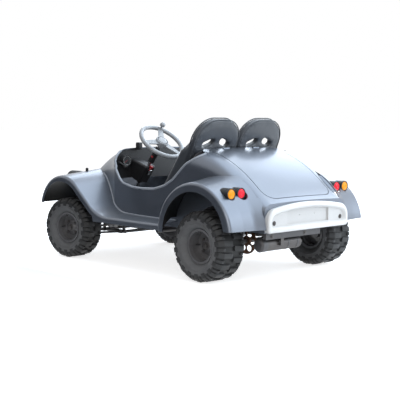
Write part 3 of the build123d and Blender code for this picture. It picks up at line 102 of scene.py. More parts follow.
# Wheels: tyre radius and width, height of the hub's face and of the nuts; profiles as (along, radius)
WHEELS = {
    "rear": (REAR_TYRE_R, REAR_TYRE_W, 0.02, 0.01),
    "front": (FRONT_TYRE_R, FRONT_TYRE_W, 0.034, 0.02),
}
NUT_CIRCLE = 0.052
NUT_COUNT = 4
NUT_R = 0.0105
NUT_HEIGHT = 0.016
LIP_R = 0.0035
LIP_OUT = 0.005
LIP_DROP = 0.004
LIP_SIDES = 10
VALVE_R = 0.08
CAP_PROFILE = (
    (-0.002, 0.027), (0.004, 0.027), (0.006, 0.024), (0.006, 0.019), (0.014, 0.017),
    (0.016, 0.012), (0.016, 0.003),
)
STEM_PROFILE = ((0.0, 0.006), (0.01, 0.0055), (0.012, 0.0038), (0.03, 0.0035), (0.031, 0.0045), (0.04, 0.0042))

# Seats
SEAT_HIP = Vector((REAR_X + 0.446, 0.216, 0.402))
SEAT_RECLINE = radians(21.2)
SEAT_BACK_H = 0.675
SEAT_BACK_T = 0.05
SEAT_BACK_HALF = 0.212
SEAT_TOP_CORNER = 0.165
SEAT_FOOT_INSET = 0.006
SEAT_VOXEL = 0.006
SEAT_SWELL = 0.006
CLOTH_STEPS = 20
CLOTH_PRESSURE = 4
CLOTH_STIFFNESS = 25
PIPING_R = 0.0042
PIPING_DEPTH, PIPING_INSET, PIPING_FOOT = 0.006, 0.003, 0.19
STITCH_L = 0.008
STITCH_T = 0.0016
STITCH_COUNT = 150
SEAM_DEPTH, SEAM_INSET, SEAM_FOOT = 0.0005, 0.016, 0.2

# Body trim
BEAD_R = 0.009
BEAD_GAP = 0.008
BEAD_BACK = REAR_X + 0.15
BEAD_LOW = 0.545
BEAD_SIDE = 0.2
DOOR_MIDDLE = Vector((0.06, 0, 0.93))
OUTSIDE = 0.9
TRACE_TRIES = 4
WELT_R = 0.0055
WELT_COUNT = 81
WELT_BACK = REAR_X + 0.372
WELT_STEP = 0.016
SEAM_CORD_R = 0.0035
CORD_COUNT = 73
CORD_LIFT = 0.004
FILLET_FIRST, FILLET_COUNT, FILLET_STEPS = 106, 45, 6
FILLET_LAP_Y, FILLET_EDGE_Y, FILLET_FOOT_Y = 0.404, 0.394, 0.368
FILLET_SKIN = 0.004
LID_FRONT, LID_BACK = Vector((REAR_X + 0.238, 0, 0.832)), Vector((REAR_X - 0.308, 0, 0.536))
LID_HALF, LID_CORNER, LID_START = 0.328, 0.085, 0.03
# Radius of the dark tube under the tail lid's gap: painted shade
GAP_SHADE_R = 0.005

# Lamps and cockpit: profiles as (along, radius)
LENS_R = 0.031
LENS_EDGE = [(-0.01, 0.0305), (0.0, 0.0305), (0.004, 0.03), (0.0075, 0.0275)]
LENS_RIBS = 4
BEZEL_PROFILE = (
    (-0.012, 0.031), (0.004, 0.031), (0.0065, 0.032), (0.0075, 0.0342), (0.0065, 0.0366), (0.003, 0.0378),
    (-0.012, 0.0376),
)
HEADLAMP_R = 0.0534
DOME_PROFILE = [
    (-0.006, HEADLAMP_R), (0.0005, HEADLAMP_R), (0.0035, 0.05), (0.0062, 0.04), (0.008, 0.022), (0.0085, 0.0015),
]
BOWL_PROFILE = [(-0.007, 0.053), (-0.011, 0.046), (-0.0165, 0.032), (-0.0195, 0.014), (-0.02, 0.0015)]
BULB_PROFILE = ((-0.02, 0.006), (-0.012, 0.006), (-0.008, 0.005), (-0.006, 0.002))
HUB_DISC_PROFILE = (
    (0.01, 0.046), (0.0145, 0.046), (0.016, 0.0445), (0.016, 0.04), (0.013, 0.039), (0.013, 0.0355),
    (0.0165, 0.034), (0.0185, 0.03), (0.0195, 0.018), (0.0195, 0.003),
)
HUB_RING_PROFILE = ((0.013, 0.0385), (0.015, 0.039), (0.015, 0.036), (0.013, 0.0362))
JACKET_PROFILE = ((-0.185, 0.013), (-0.185, 0.0235), (-0.06, 0.0205), (-0.06, 0.013))
STALK_PROFILE = ((0.018, 0.0085), (0.03, 0.0085), (0.031, 0.0065), (0.044, 0.0065), (0.046, 0.0045))
KNOB_PROFILE = ((0, 0.009), (0.012, 0.009), (0.016, 0.013), (0.03, 0.0135), (0.034, 0.01))
DIAL_PROFILE = ((-0.004, 0.038), (0.0012, 0.038), (0.0012, 0.002))
DIAL_RIM_PROFILE = ((-0.004, 0.0415), (0.004, 0.0415), (0.005, 0.04), (0.005, 0.0375), (0.001, 0.037))
DIAL_TICKS = 24
NEEDLE_TURN = 2.2
PEDAL_INSET = 0.031
PEDAL_LEAN = radians(20)
MAT_STRIPS = 24
MAT_STRIP_GAP = 0.0155

# Running gear
SPRING_VALUES = {"Turns": 8.0, "Radius": 0.0235, "Wire": 0.0042}
SPRING_START, SPRING_SHARE = 0.2, 0.58
CHAIN_Y = -0.1
BIG_SPROCKET, BIG_SPROCKET_R = Vector((REAR_X, REAR_Z)), 0.0853
SMALL_SPROCKET, SMALL_SPROCKET_R = Vector((REAR_X + 0.195, 0.335)), 0.0333
CHAIN_LINKS = 78
LINK_PLATE = (
    (-0.0075, -0.0036), (-0.004, -0.0042), (0.004, -0.0042), (0.0075, -0.0036),
    (0.0075, 0.0036), (0.004, 0.0042), (-0.004, 0.0042), (-0.0075, 0.0036),
)
LINK_PLATE_Y, LINK_PLATE_T = 0.0038, 0.0016
BOLT_R = 0.008
MUFFLER_X, MUFFLER_Z = REAR_X - 0.286, 0.244
MUFFLER_BAND_W, MUFFLER_BAND_R = 0.014, 0.0445
MUFFLER_CAP_PROFILE = ((-0.05, 0.0442), (-0.01, 0.0442), (0.001, 0.036), (0.003, 0.03), (0.003, 0.002))

# Stage: cards by their corners; softboxes by place, size, power and colour
FLOOR_HALF = 60
FLOOR_LIFT = 0.75
SKY_LOW, SKY_HIGH = 0.35, 1.0
CARDS = (
    ("standing_card", ((-1.0, 5.5, 0.0), (6.5, 2.2, 0.0), (6.5, 2.2, 2.6), (-1.0, 5.5, 2.6))),
    ("lying_card", ((-2.2, 1.1, 0.002), (4.5, 1.1, 0.002), (6.5, 2.2, 0.002), (-1.0, 5.5, 0.002))),
)
SOFTBOXES = (
    ("far_softbox", (2.8, -4.8, 3.8), (6.5, 4.0), 310, (0.74, 0.86, 1.0)),
    ("top_softbox", (-1.6, -0.9, 4.6), (6.0, 6.0), 270, (0.74, 0.87, 1.0)),
    ("back_softbox", (-4.6, -4.2, 2.6), (5.0, 3.2), 205, (0.78, 0.89, 1.0)),
    ("near_softbox", (-4.6, 5.2, 3.2), (3.0, 3.0), 95, (1.0, 0.98, 0.96)),
)
LAMPS_AIM = Vector((0, 0, 0.4))

# Photograph's camera
CAMERA_AT = Vector((REAR_X - 4.175, 4.689, 1.037))
CAMERA_YAW = radians(-44.2)
CAMERA_PITCH = radians(-5.0)
CAMERA_ROLL = radians(0.38)
SENSOR = 36.0
PHOTO_SIDE = 400
FOCAL_PIXELS = 926

QUARTER_TURN = Matrix.Rotation(pi / 2, 4, "Z")
HALF_TURN = Matrix.Rotation(pi, 4, "Z")
SAME_SPOT = 1e-5
BEVEL_ROUND = 0.6
BUMP_STEP = 0.0004
DUST_GREY = (0.15, 0.145, 0.14, 1)
NOISE_LOW, NOISE_HIGH, GRAIN_SHARE = 0.3, 0.7, 0.3


# Small mesh helpers


def new_object(name, data):
    piece = bpy.data.objects.new(name, data)
    scene.collection.objects.link(piece)
    return piece


def opened(*meshes):
    """Edit mesh that holds the given meshes."""
    work = bmesh.new()
    for mesh in meshes:
        work.from_mesh(mesh)
    return work


def put_back(work, mesh):
    work.to_mesh(mesh)
    work.free()
    return mesh


def shaded(mesh, smooth=True):
    mesh.polygons.foreach_set("use_smooth", [smooth] * len(mesh.polygons))
    return mesh


def shift_by(x, y, z):
    return Matrix.Translation((x, y, z))


def moved(mesh, place):
    mesh.transform(place)
    return mesh


def from_bmesh(work, smooth=True):
    bmesh.ops.recalc_face_normals(work, faces=work.faces)
    return shaded(put_back(work, bpy.data.meshes.new("shape")), smooth)


def lofted(rings, loop=False, smooth=True):
    """Skin over closed rings of points: capped at its ends, or a loop without ends."""
    work = bmesh.new()
    rows = [[work.verts.new(spot) for spot in ring] for ring in rings]
    for low, high in zip(rows, rows[1:] + (rows[:1] if loop else [])):
        for n in range(len(low)):
            m = (n + 1) % len(low)
            work.faces.new((low[n], low[m], high[m], high[n]))
    if not loop:
        for end in (rows[0], rows[-1]):
            work.faces.new(end)
    return from_bmesh(work, smooth)


def turned(profile, steps, loop=False):
    """Profile of (along, radius) points turned about the Y axis."""
    turns = [tau * n / steps for n in range(steps)]
    return lofted([[(r * sin(t), along, r * cos(t)) for t in turns] for along, r in profile], loop)


def prism(outline, depth):
    """Outline of (x, z) points stretched along Y, from -depth/2 to depth/2."""
    return lofted([[(x, y, z) for x, z in outline] for y in (depth / 2, -depth / 2)], smooth=False)


def bevelled(mesh, width, segments=2):
    work = opened(mesh)
    bmesh.ops.bevel(
        work, geom=work.edges[:], offset=width, segments=segments, profile=BEVEL_ROUND, affect="EDGES",
        clamp_overlap=True,
    )
    return shaded(put_back(work, mesh))


def merged(meshes):
    return shaded(put_back(opened(*meshes), bpy.data.meshes.new("shape")))


def slab(low, high, soft):
    """Box between two corners with rounded edges."""
    work = bmesh.new()
    bmesh.ops.create_cube(work, size=1)
    size = Vector(high) - Vector(low)
    for spot in work.verts:
        spot.co = Vector(low) + Vector([(c + 0.5) * s for c, s in zip(spot.co, size)])
    return bevelled(from_bmesh(work, False), soft)


def facing(at, direction):
    """Places a shape built about the Y axis so that its +Y end looks along direction."""
    return Matrix.Translation(at) @ Vector((0, 1, 0)).rotation_difference(Vector(direction)).to_matrix().to_4x4()


def lamp_turn(at, backward):
    """Places a shape turned about Y so that its +Y end points back or forward."""
    return Matrix.Translation(at) @ Matrix.Rotation(pi / 2 if backward else -pi / 2, 4, "Z")


def surface_of(*names):
    work = opened(*(nodes[name].data for name in names))
    tree = BVHTree.FromBMesh(work)
    work.free()
    return tree


def hit(tree, start, way):
    return tree.ray_cast(Vector(start), way)[0]


def evaluated(piece):
    """Mesh of an object as its modifiers make it. The object goes."""
    bpy.context.view_layer.update()
    mesh = bpy.data.meshes.new_from_object(piece.evaluated_get(bpy.context.evaluated_depsgraph_get()))
    bpy.data.objects.remove(piece)
    return mesh


def coat_with(piece, finish):
    piece.data.materials.clear()
    piece.data.materials.append(finish)
    return piece


def add_piece(name, shape, finish, body="chassis", sharp=35, stands_for=None):
    """Piece that rides a body, from one mesh or a list to merge. Edges above sharp degrees are creased."""
    mesh = merged(shape) if isinstance(shape, list) else shape
    mesh.name = name
    piece = coat_with(new_object(name, mesh), finish)
    if sharp:
        mesh.set_sharp_from_angle(angle=radians(sharp))
    if stands_for:
        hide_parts(stands_for)
    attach(piece, body)


def add_tube(name, points, radius, finish):
    add_piece(name, [tube_along(points, radius, finish)], finish)


# Node trees


def feed(tree, node, sockets):
    """Gives a node's inputs their links or values."""
    for label, value in sockets.items():
        if isinstance(value, bpy.types.NodeSocket):
            tree.links.new(value, node.inputs[label])
        else:
            node.inputs[label].default_value = value


def add_node(tree, kind, sockets=None, **settings):
    """Adds a node with its settings and inputs, and returns its outputs."""
    node = tree.nodes.new(kind)
    for label, value in settings.items():
        setattr(node, label, value)
    feed(tree, node, sockets or {})
    return node.outputs


def math_node(tree, operation, *values):
    return add_node(tree, "ShaderNodeMath", dict(enumerate(values)), operation=operation)[0]


def vector_node(tree, operation, *values):
    return add_node(tree, "ShaderNodeVectorMath", dict(enumerate(values)), operation=operation)


def mapped(tree, value, low, high, to_low=0.0, to_high=1.0, **settings):
    sockets = {"Value": value, "From Min": low, "From Max": high, "To Min": to_low, "To Max": to_high}
    return add_node(tree, "ShaderNodeMapRange", sockets, **settings)[0]


def blended(tree, factor, first, second, blend="MIX"):
    sockets = {"Factor": factor, 6: first, 7: second}
    return add_node(tree, "ShaderNodeMix", sockets, data_type="RGBA", blend_type=blend)[2]


def object_place(tree):
    return add_node(tree, "ShaderNodeTexCoord")["Object"]


def new_group(name, kind, inputs, outputs):
    """Node group with sockets given as (label, kind), and its input's sockets."""
    group = bpy.data.node_groups.new(name, kind)
    for way, rows in (("OUTPUT", outputs), ("INPUT", inputs)):
        for label, socket_kind in rows:
            group.interface.new_socket(label, in_out=way, socket_type="NodeSocket" + socket_kind)
    group.nodes.new("NodeGroupOutput")
    return group, group.nodes.new("NodeGroupInput").outputs


def geometry_tree(name, *inputs):
    return new_group(name, "GeometryNodeTree", (*inputs, ("Finish", "Material")), [("Geometry", "Geometry")])


def close_tree(tree, given, socket):
    real = add_node(tree, "GeometryNodeRealizeInstances", {"Geometry": socket})[0]
    dressed = add_node(tree, "GeometryNodeSetMaterial", {"Geometry": real, "Material": given["Finish"]})[0]
    feed(tree, tree.nodes["Group Output"], {"Geometry": dressed})
    return tree


def item_of(tree, socket):
    return add_node(tree, "GeometryNodeObjectInfo", {"Object": socket})["Geometry"]


def copies_of(tree, given, points, rotation):
    """Copies of Item on points, to the end of the tree."""
    sockets = {"Points": points, "Instance": item_of(tree, given["Item"]), "Rotation": rotation}
    return close_tree(tree, given, add_node(tree, "GeometryNodeInstanceOnPoints", sockets)[0])


def wall_along(tree, given, curve, **ring):
    """Round wall along a curve, to the end of the tree."""
    circle = add_node(tree, "GeometryNodeCurvePrimitiveCircle", ring)[0]
    sockets = {"Curve": curve, "Profile Curve": circle, "Fill Caps": True}
    wall = add_node(tree, "GeometryNodeCurveToMesh", sockets)[0]
    return close_tree(tree, given, add_node(tree, "GeometryNodeSetShadeSmooth", {"Geometry": wall})[0])


def ring_tree():
    """Copies of Item round the Y axis."""
    tree, given = geometry_tree("ring of pieces", ("Item", "Object"), ("Count", "Int"), ("First Turn", "Float"))
    points = add_node(tree, "GeometryNodePoints", {"Count": given["Count"]})[0]
    share = math_node(tree, "DIVIDE", add_node(tree, "GeometryNodeInputIndex")[0], given["Count"])
    angle = math_node(tree, "MULTIPLY_ADD", share, tau, given["First Turn"])
    turn = add_node(tree, "ShaderNodeCombineXYZ", {"Y": angle})[0]
    return copies_of(tree, given, points, add_node(tree, "FunctionNodeEulerToRotation", {0: turn})[0])


def row_tree():
    """Copies of Item along Path, evenly spaced, with X along the path."""
    tree, given = geometry_tree("row of pieces", ("Path", "Object"), ("Item", "Object"), ("Count", "Int"))
    sockets = {"Curve": item_of(tree, given["Path"]), "Count": given["Count"]}
    even = add_node(tree, "GeometryNodeResampleCurve", sockets)[0]
    tangent = add_node(tree, "GeometryNodeInputTangent")[0]
    along = add_node(tree, "FunctionNodeAlignRotationToVector", {"Vector": tangent}, axis="X")[0]
    return copies_of(tree, given, even, along)


def tube_tree():
    """Round tube along Path."""
    tree, given = geometry_tree("tube", ("Path", "Object"), ("Radius", "Float"), ("Sides", "Int"))
    return wall_along(
        tree, given, item_of(tree, given["Path"]), Radius=given["Radius"], Resolution=given["Sides"]
    )


def spring_tree():
    """Coil spring that stands on the XY plane."""
    tree, given = geometry_tree(
        "coil spring", ("Turns", "Float"), ("Radius", "Float"), ("Height", "Float"), ("Wire", "Float")
    )
    sockets = {
        "Resolution": 28, "Rotations": given["Turns"], "Start Radius": given["Radius"],
        "End Radius": given["Radius"], "Height": given["Height"],
    }
    coil = add_node(tree, "GeometryNodeCurveSpiral", sockets)[0]
    return wall_along(tree, given, coil, Radius=given["Wire"], Resolution=10)


RING, ROW, TUBE, SPRING = ring_tree(), row_tree(), tube_tree(), spring_tree()


def grown(tree, values, place=Matrix.Identity(4)):
    """Runs a tree with the named values and returns the result as a plain mesh, moved by place."""
    carrier = new_object("carrier", bpy.data.meshes.new("shape"))
    step = carrier.modifiers.new("grow", "NODES")
    step.node_group = tree
    for item in tree.interface.items_tree:
        if item.in_out == "INPUT" and item.name in values:
            step[item.identifier] = values[item.name]
    mesh = moved(evaluated(carrier), place)
    for value in values.values():
        if isinstance(value, bpy.types.Object):
            bpy.data.objects.remove(value)
    return mesh


def ring_of(item_mesh, count, first, finish, place=Matrix.Identity(4)):
    item = new_object("item", item_mesh)
    return grown(RING, {"Item": item, "Count": count, "First Turn": first, "Finish": finish}, place)


def path_object(points, closed=False):
    curve = bpy.data.curves.new("path", "CURVE")
    curve.dimensions = "3D"
    line = curve.splines.new("POLY")
    line.points.add(len(points) - 1)
    for spot, point in zip(line.points, points):
        spot.co = (*point, 1)
    line.use_cyclic_u = closed
    return new_object("path", curve)


def tube_along(points, radius, finish, sides=10):
    path = path_object(points)
    return grown(TUBE, {"Path": path, "Radius": radius, "Sides": sides, "Finish": finish})


def row_along(points, item_mesh, count, finish, closed=False):
    path = path_object(points, closed)
    item = new_object("item", item_mesh)
    return grown(ROW, {"Path": path, "Item": item, "Count": count, "Finish": finish})


def mottle_group():
    """Uneven colour: Shade runs between the Dark and Light colours, Height is fine grain."""
    group, given = new_group(
        "mottle",
        "ShaderNodeTree",
        [
            ("Dark", "Color"), ("Light", "Color"), ("Patch Scale", "Float"), ("Grain Scale", "Float"),
            ("Low Rough", "Float"), ("High Rough", "Float"),
        ],
        [("Shade", "Color"), ("Rough", "Float"), ("Height", "Float")],
    )
    place = object_place(group)
    patch, grain = (
        add_node(group, "ShaderNodeTexNoise", {"Vector": place, "Scale": given[label], "Detail": detail})["Fac"]
        for label, detail in (("Patch Scale", 4), ("Grain Scale", 2))
    )
    some = math_node(group, "MULTIPLY", grain, GRAIN_SHARE)
    blend = math_node(group, "MULTIPLY_ADD", patch, 1 - GRAIN_SHARE, some)
    spread = mapped(group, blend, NOISE_LOW, NOISE_HIGH)
    rough = mapped(group, blend, NOISE_LOW, NOISE_HIGH, given["Low Rough"], given["High Rough"])
    shade = blended(group, spread, given["Dark"], given["Light"])
    feed(group, group.nodes["Group Output"], {"Shade": shade, "Rough": rough, "Height": grain})
    return group


def dust_group():
    """Dry road dust over Color that thins out with height."""
    sockets = [("Color", "Color"), ("Reach", "Float"), ("Amount", "Float")]
    group, given = new_group("road dust", "ShaderNodeTree", sockets, [("Color", "Color")])
    place = object_place(group)
    height = add_node(group, "ShaderNodeSeparateXYZ", {0: place})["Z"]
    fall = mapped(group, height, 0.0, given["Reach"], 1, 0, interpolation_type="SMOOTHSTEP")
    clouds = {"Vector": place, "Scale": 14, "Detail": 6, "Roughness": 0.65}
    both = math_node(group, "MULTIPLY", fall, add_node(group, "ShaderNodeTexNoise", clouds)["Fac"])
    weak = math_node(group, "MULTIPLY", both, given["Amount"])
    feed(group, group.nodes["Group Output"], {"Color": blended(group, weak, given["Color"], DUST_GREY)})
    return group


MOTTLE, DUST = mottle_group(), dust_group()


# Materials


def new_material(name):
    made = bpy.data.materials.new(name)
    made.use_nodes = True
    return made, made.node_tree, made.node_tree.nodes["Principled BSDF"]


def finish_of(name, dark, light, rough, patch=6, grain=400, bump=0.05, dust=0.0, reach=0.5, **plain):
    """Material with mottled colour, uneven roughness, fine bump and, low down, some dust."""
    made, tree, shader = new_material(name)
    sockets = {
        "Dark": (*dark, 1), "Light": (*light, 1), "Patch Scale": patch, "Grain Scale": grain,
        "Low Rough": rough[0], "High Rough": rough[1],
    }
    uneven = add_node(tree, "ShaderNodeGroup", sockets, node_tree=MOTTLE)
    shade = uneven["Shade"]
    if dust:
        sockets = {"Color": shade, "Reach": reach, "Amount": dust}
        shade = add_node(tree, "ShaderNodeGroup", sockets, node_tree=DUST)["Color"]
    relief = add_node(
        tree, "ShaderNodeBump", {"Strength": bump, "Distance": BUMP_STEP, "Height": uneven["Height"]}
    )
    feed(tree, shader, {"Base Color": shade, "Roughness": uneven["Rough"], "Normal": relief["Normal"]})
    feed(tree, shader, {label.replace("_", " "): value for label, value in plain.items()})
    return made


FINISHES = {
    "paint": finish_of(
        "gunmetal paint", (0.15, 0.168, 0.2), (0.172, 0.192, 0.228), (0.38, 0.46), patch=3, grain=1500,
        dust=0.12, reach=0.55, Metallic=0.88, Coat_Weight=0.35, Coat_Roughness=0.18,
    ),
    "silver": finish_of(
        "pale panel paint", (0.63, 0.615, 0.6), (0.69, 0.675, 0.66), (0.34, 0.46), patch=5, grain=900,
        dust=0.08, reach=0.45, Coat_Weight=0.2,
    ),
    "black_plastic": finish_of(
        "black moulded plastic", (0.01, 0.01, 0.011), (0.019, 0.019, 0.021), (0.42, 0.58), grain=1200,
        bump=0.25, dust=0.1,
    ),
    "grey_plastic": finish_of(
        "grey moulded plastic", (0.3, 0.31, 0.325), (0.37, 0.38, 0.395), (0.26, 0.38), grain=1400, bump=0.12,
        Coat_Weight=0.3,
    ),
    "red_lens": finish_of(
        "red lens", (0.6, 0.012, 0.022), (0.74, 0.018, 0.032), (0.08, 0.16), grain=300, bump=0.3,
        Specular_IOR_Level=0.25, Emission_Strength=0.38, Emission_Color=(0.9, 0.02, 0.05, 1),
    ),
    "amber_lens": finish_of(
        "amber lens", (0.8, 0.27, 0.006), (0.9, 0.33, 0.01), (0.08, 0.16), grain=300, bump=0.3,
        Specular_IOR_Level=0.25, Emission_Strength=0.28, Emission_Color=(1.0, 0.38, 0.0, 1),
    ),
    "clear_lens": finish_of(
        "clear lens", (0.92, 0.94, 0.95), (0.98, 0.99, 1.0), (0.02, 0.06), grain=200, bump=0.15,
        Transmission_Weight=0.9, IOR=1.49,
    ),
    "frame_black": finish_of(
        "black frame coat", (0.045, 0.042, 0.045), (0.07, 0.066, 0.069), (0.36, 0.55), grain=700, bump=0.15,
        dust=0.35, reach=0.45,
    ),
    "steel": finish_of(
        "dull steel", (0.075, 0.069, 0.068), (0.115, 0.106, 0.102), (0.45, 0.6), patch=20, grain=600, bump=0.12,
        dust=0.4, reach=0.45, Metallic=0.8,
    ),
    "rusty_steel": finish_of(
        "rusty disc steel", (0.085, 0.038, 0.02), (0.21, 0.105, 0.062), (0.5, 0.8), patch=40, grain=700,
        bump=0.35, Metallic=0.3,
    ),
    "cast_alloy": finish_of(
        "cast alloy", (0.2, 0.205, 0.21), (0.3, 0.305, 0.31), (0.45, 0.65), patch=18, grain=900, bump=0.3,
        dust=0.4, Metallic=0.8,
    ),
    "seat_vinyl": finish_of(
        "slate vinyl", (0.025, 0.03, 0.038), (0.036, 0.042, 0.053), (0.36, 0.47), patch=9, grain=900, bump=0.3,
        Sheen_Weight=0.2, Coat_Weight=0.15,
    ),
    "tyre": finish_of(
        "tyre rubber", (0.095, 0.095, 0.098), (0.165, 0.165, 0.168), (0.42, 0.66), patch=16, grain=500, bump=0.4,
        dust=0.5, reach=0.6, Specular_IOR_Level=0.32,
    ),
    "rim_black": finish_of(
        "black rim enamel", (0.105, 0.102, 0.105), (0.155, 0.15, 0.153), (0.18, 0.28), grain=900, bump=0.08,
        dust=0.15, Coat_Weight=0.3,
    ),
}
BLACK, STEEL = FINISHES["black_plastic"], FINISHES["steel"]
CHROME = finish_of(
    "bright plate", (0.7, 0.71, 0.72), (0.8, 0.81, 0.82), (0.1, 0.24), patch=30, grain=500, Metallic=1.0
)
SPRING_PAINT = finish_of(
    "spring enamel", (0.1, 0.012, 0.01), (0.16, 0.018, 0.014), (0.3, 0.5), patch=20, bump=0.1, dust=0.5
)
# Lip rings on the rims: their colour, lighter than the rim, is a painted highlight
RIM_LIP_HIGHLIGHT = finish_of(
    "rim lip with painted highlight", (0.16, 0.157, 0.16), (0.24, 0.236, 0.24), (0.16, 0.28), grain=900, bump=0.1, Metallic=0.5
)
RED_PLASTIC = finish_of("red knob plastic", (0.35, 0.012, 0.02), (0.45, 0.018, 0.028), (0.25, 0.4), bump=0.1)
WHITE_MARK = finish_of("dial white", (0.75, 0.75, 0.73), (0.82, 0.82, 0.8), (0.45, 0.6))
THREAD = finish_of("seat thread", (0.1, 0.105, 0.115), (0.15, 0.155, 0.165), (0.7, 0.85), grain=2500, bump=0.3)
# Beads on the cockpit edge and the front fender welts: their pale bluish colour is a painted highlight
HIGHLIGHT_BEAD = finish_of(
    "edge bead with painted highlight", (0.3, 0.33, 0.38), (0.38, 0.41, 0.46), (0.24, 0.34), patch=8, Coat_Weight=0.5
)
SEAM_CORD = finish_of("seam cord", (0.035, 0.039, 0.046), (0.05, 0.055, 0.064), (0.35, 0.5), patch=8, bump=0.1)
MAT_RUBBER = finish_of("floor mat rubber", (0.01, 0.01, 0.01), (0.02, 0.02, 0.02), (0.6, 0.8), bump=0.4)
SHAFT_STEEL = (0.42, 0.42, 0.43, 1)
# Black of the painted shade on the inner faces of the fenders and side panels
PAINTED_SHADE_BLACK = (0.012, 0.012, 0.012, 1)


def variant(slot, name):
    """Copy of a slot's finish under its own name, with its tree and its shader."""
    made = FINISHES[slot].copy()
    made.name = name
    return made, made.node_tree, made.node_tree.nodes["Principled BSDF"]


def recolour(tree, shader, factor, colour, blend="MIX"):
    base = shader.inputs["Base Color"].links[0].from_socket
    feed(tree, shader, {"Base Color": blended(tree, factor, base, colour, blend)})


def steering_finish():
    """Grey wheel on a steel shaft: the change is a distance from the wheel's own axis."""
    made, tree, shader = variant("grey_plastic", "steering wheel and shaft")
    arm = vector_node(tree, "SUBTRACT", object_place(tree), WHEEL_HUB)[0]
    reach = vector_node(tree, "LENGTH", vector_node(tree, "CROSS_PRODUCT", arm, WHEEL_AXIS)[0])["Value"]
    shaft = mapped(tree, reach, 0.0125, 0.0135, 1, 0)
    recolour(tree, shader, shaft, SHAFT_STEEL)
    feed(tree, shader, {"Metallic": shaft})
    return made


def shaded_tread_finish():
    """Dusty grey sidewalls, and painted shade on the tread, darkest in the grooves, by the mesh's own attribute.
    """
    made, tree, shader = variant("tyre", "worn tread rubber")
    tread_shade = add_node(tree, "ShaderNodeAttribute", attribute_name="tread_shade")["Fac"]
    recolour(tree, shader, 1, mapped(tree, tread_shade, 0, 1, 1.0, FULL_SHADE_TINT), "MULTIPLY")
    return made


def panel_paint_with_recess_shade():
    """Pale paint, brighter on the rim and darker by depth from the rim into the recess: painted shade in the
    recess.
    """
    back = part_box("rear_panel")[0].x
    made, tree, shader = variant("silver", "rear panel paint")
    depth = add_node(tree, "ShaderNodeSeparateXYZ", {0: object_place(tree)})["X"]
    # Painted shade: the colour is multiplied up on the rim and down deeper in the recess
    recolour(tree, shader, 1, mapped(tree, depth, back + 0.004, back + 0.022, 1.2, 0.92), "MULTIPLY")
    return made


def paint_with_inner_shade(name, outward):
    """Paint outside, and black painted shade where faces look against the direction that outward gives."""
    made, tree, shader = variant("paint", name)
    normal = add_node(tree, "ShaderNodeNewGeometry")["True Normal"]
    # Painted shade: black, with no coat, on the faces turned against outward
    inside = mapped(tree, vector_node(tree, "DOT_PRODUCT", outward(tree), normal)["Value"], -0.03, -0.01, 1, 0)
    recolour(tree, shader, inside, PAINTED_SHADE_BLACK)
    coat = shader.inputs["Coat Weight"].default_value
    feed(tree, shader, {"Coat Weight": mapped(tree, inside, 0, 1, coat, 0)})
    return made


def fender_paint_inner_shade(name, centre):
    """Black painted shade on faces that look towards the wheel's centre line."""
    def outward(tree):
        away = vector_node(tree, "SUBTRACT", object_place(tree), centre)[0]
        return vector_node(tree, "MULTIPLY", away, (1, 0, 1))[0]
    return paint_with_inner_shade(name, outward)


def side_paint_inner_shade(name, sign):
    """Black painted shade on the cockpit faces that look across the car."""
    return paint_with_inner_shade(name, lambda tree: (0, 0.04 * sign, 0))


SHADED_TREAD = shaded_tread_finish()
REAR_FENDER_INNER_SHADE_PAINT = fender_paint_inner_shade("rear fender paint", REAR_ARCH)


def dress_frame():
    for row in frame["record"]["subparts"]:
        coat_with(nodes[row["node"]], FINISHES[row["material_slot"]])
    front_inner_shade_paint = fender_paint_inner_shade("front fender paint", FRONT_ARCH)
    for side, sign in SIDES:
        coat_with(nodes[f"side_panel_{side}"], side_paint_inner_shade(f"{side} side paint", sign))
        coat_with(nodes[f"rear_fender_{side}"], REAR_FENDER_INNER_SHADE_PAINT)
        coat_with(nodes[f"front_fender_{side}"], front_inner_shade_paint)
    coat_with(nodes["rear_panel"], panel_paint_with_recess_shade())
    coat_with(nodes["steering_wheel"], steering_finish())


# Wheels


def wheel_place(end, side, sign):
    """Where a wheel built about the Y axis goes, with its outside away from the car."""
    outward = Matrix.Identity(4) if sign == 1 else HALF_TURN
    if end == "rear":
        return shift_by(REAR_X, sign * REAR_TYRE_Y, REAR_Z) @ outward
    spin = JOINTS[f"wheel_{side}_spin"]
    axis = Vector(spin["axis"])
    steer = Matrix.Rotation(atan2(-axis.x, axis.y), 4, "Z")
    return Matrix.Translation(spin["pos_m"]) @ steer @ outward


def tread_block(radius, half, outline, depth, bevel, slant=0.0):
    mesh = moved(prism([(a * half, radius - drop) for a, drop in outline], depth), QUARTER_TURN)
    for spot in mesh.vertices:
        spot.co.x += slant * (spot.co.y - half / 2)
    return bevelled(mesh, bevel)


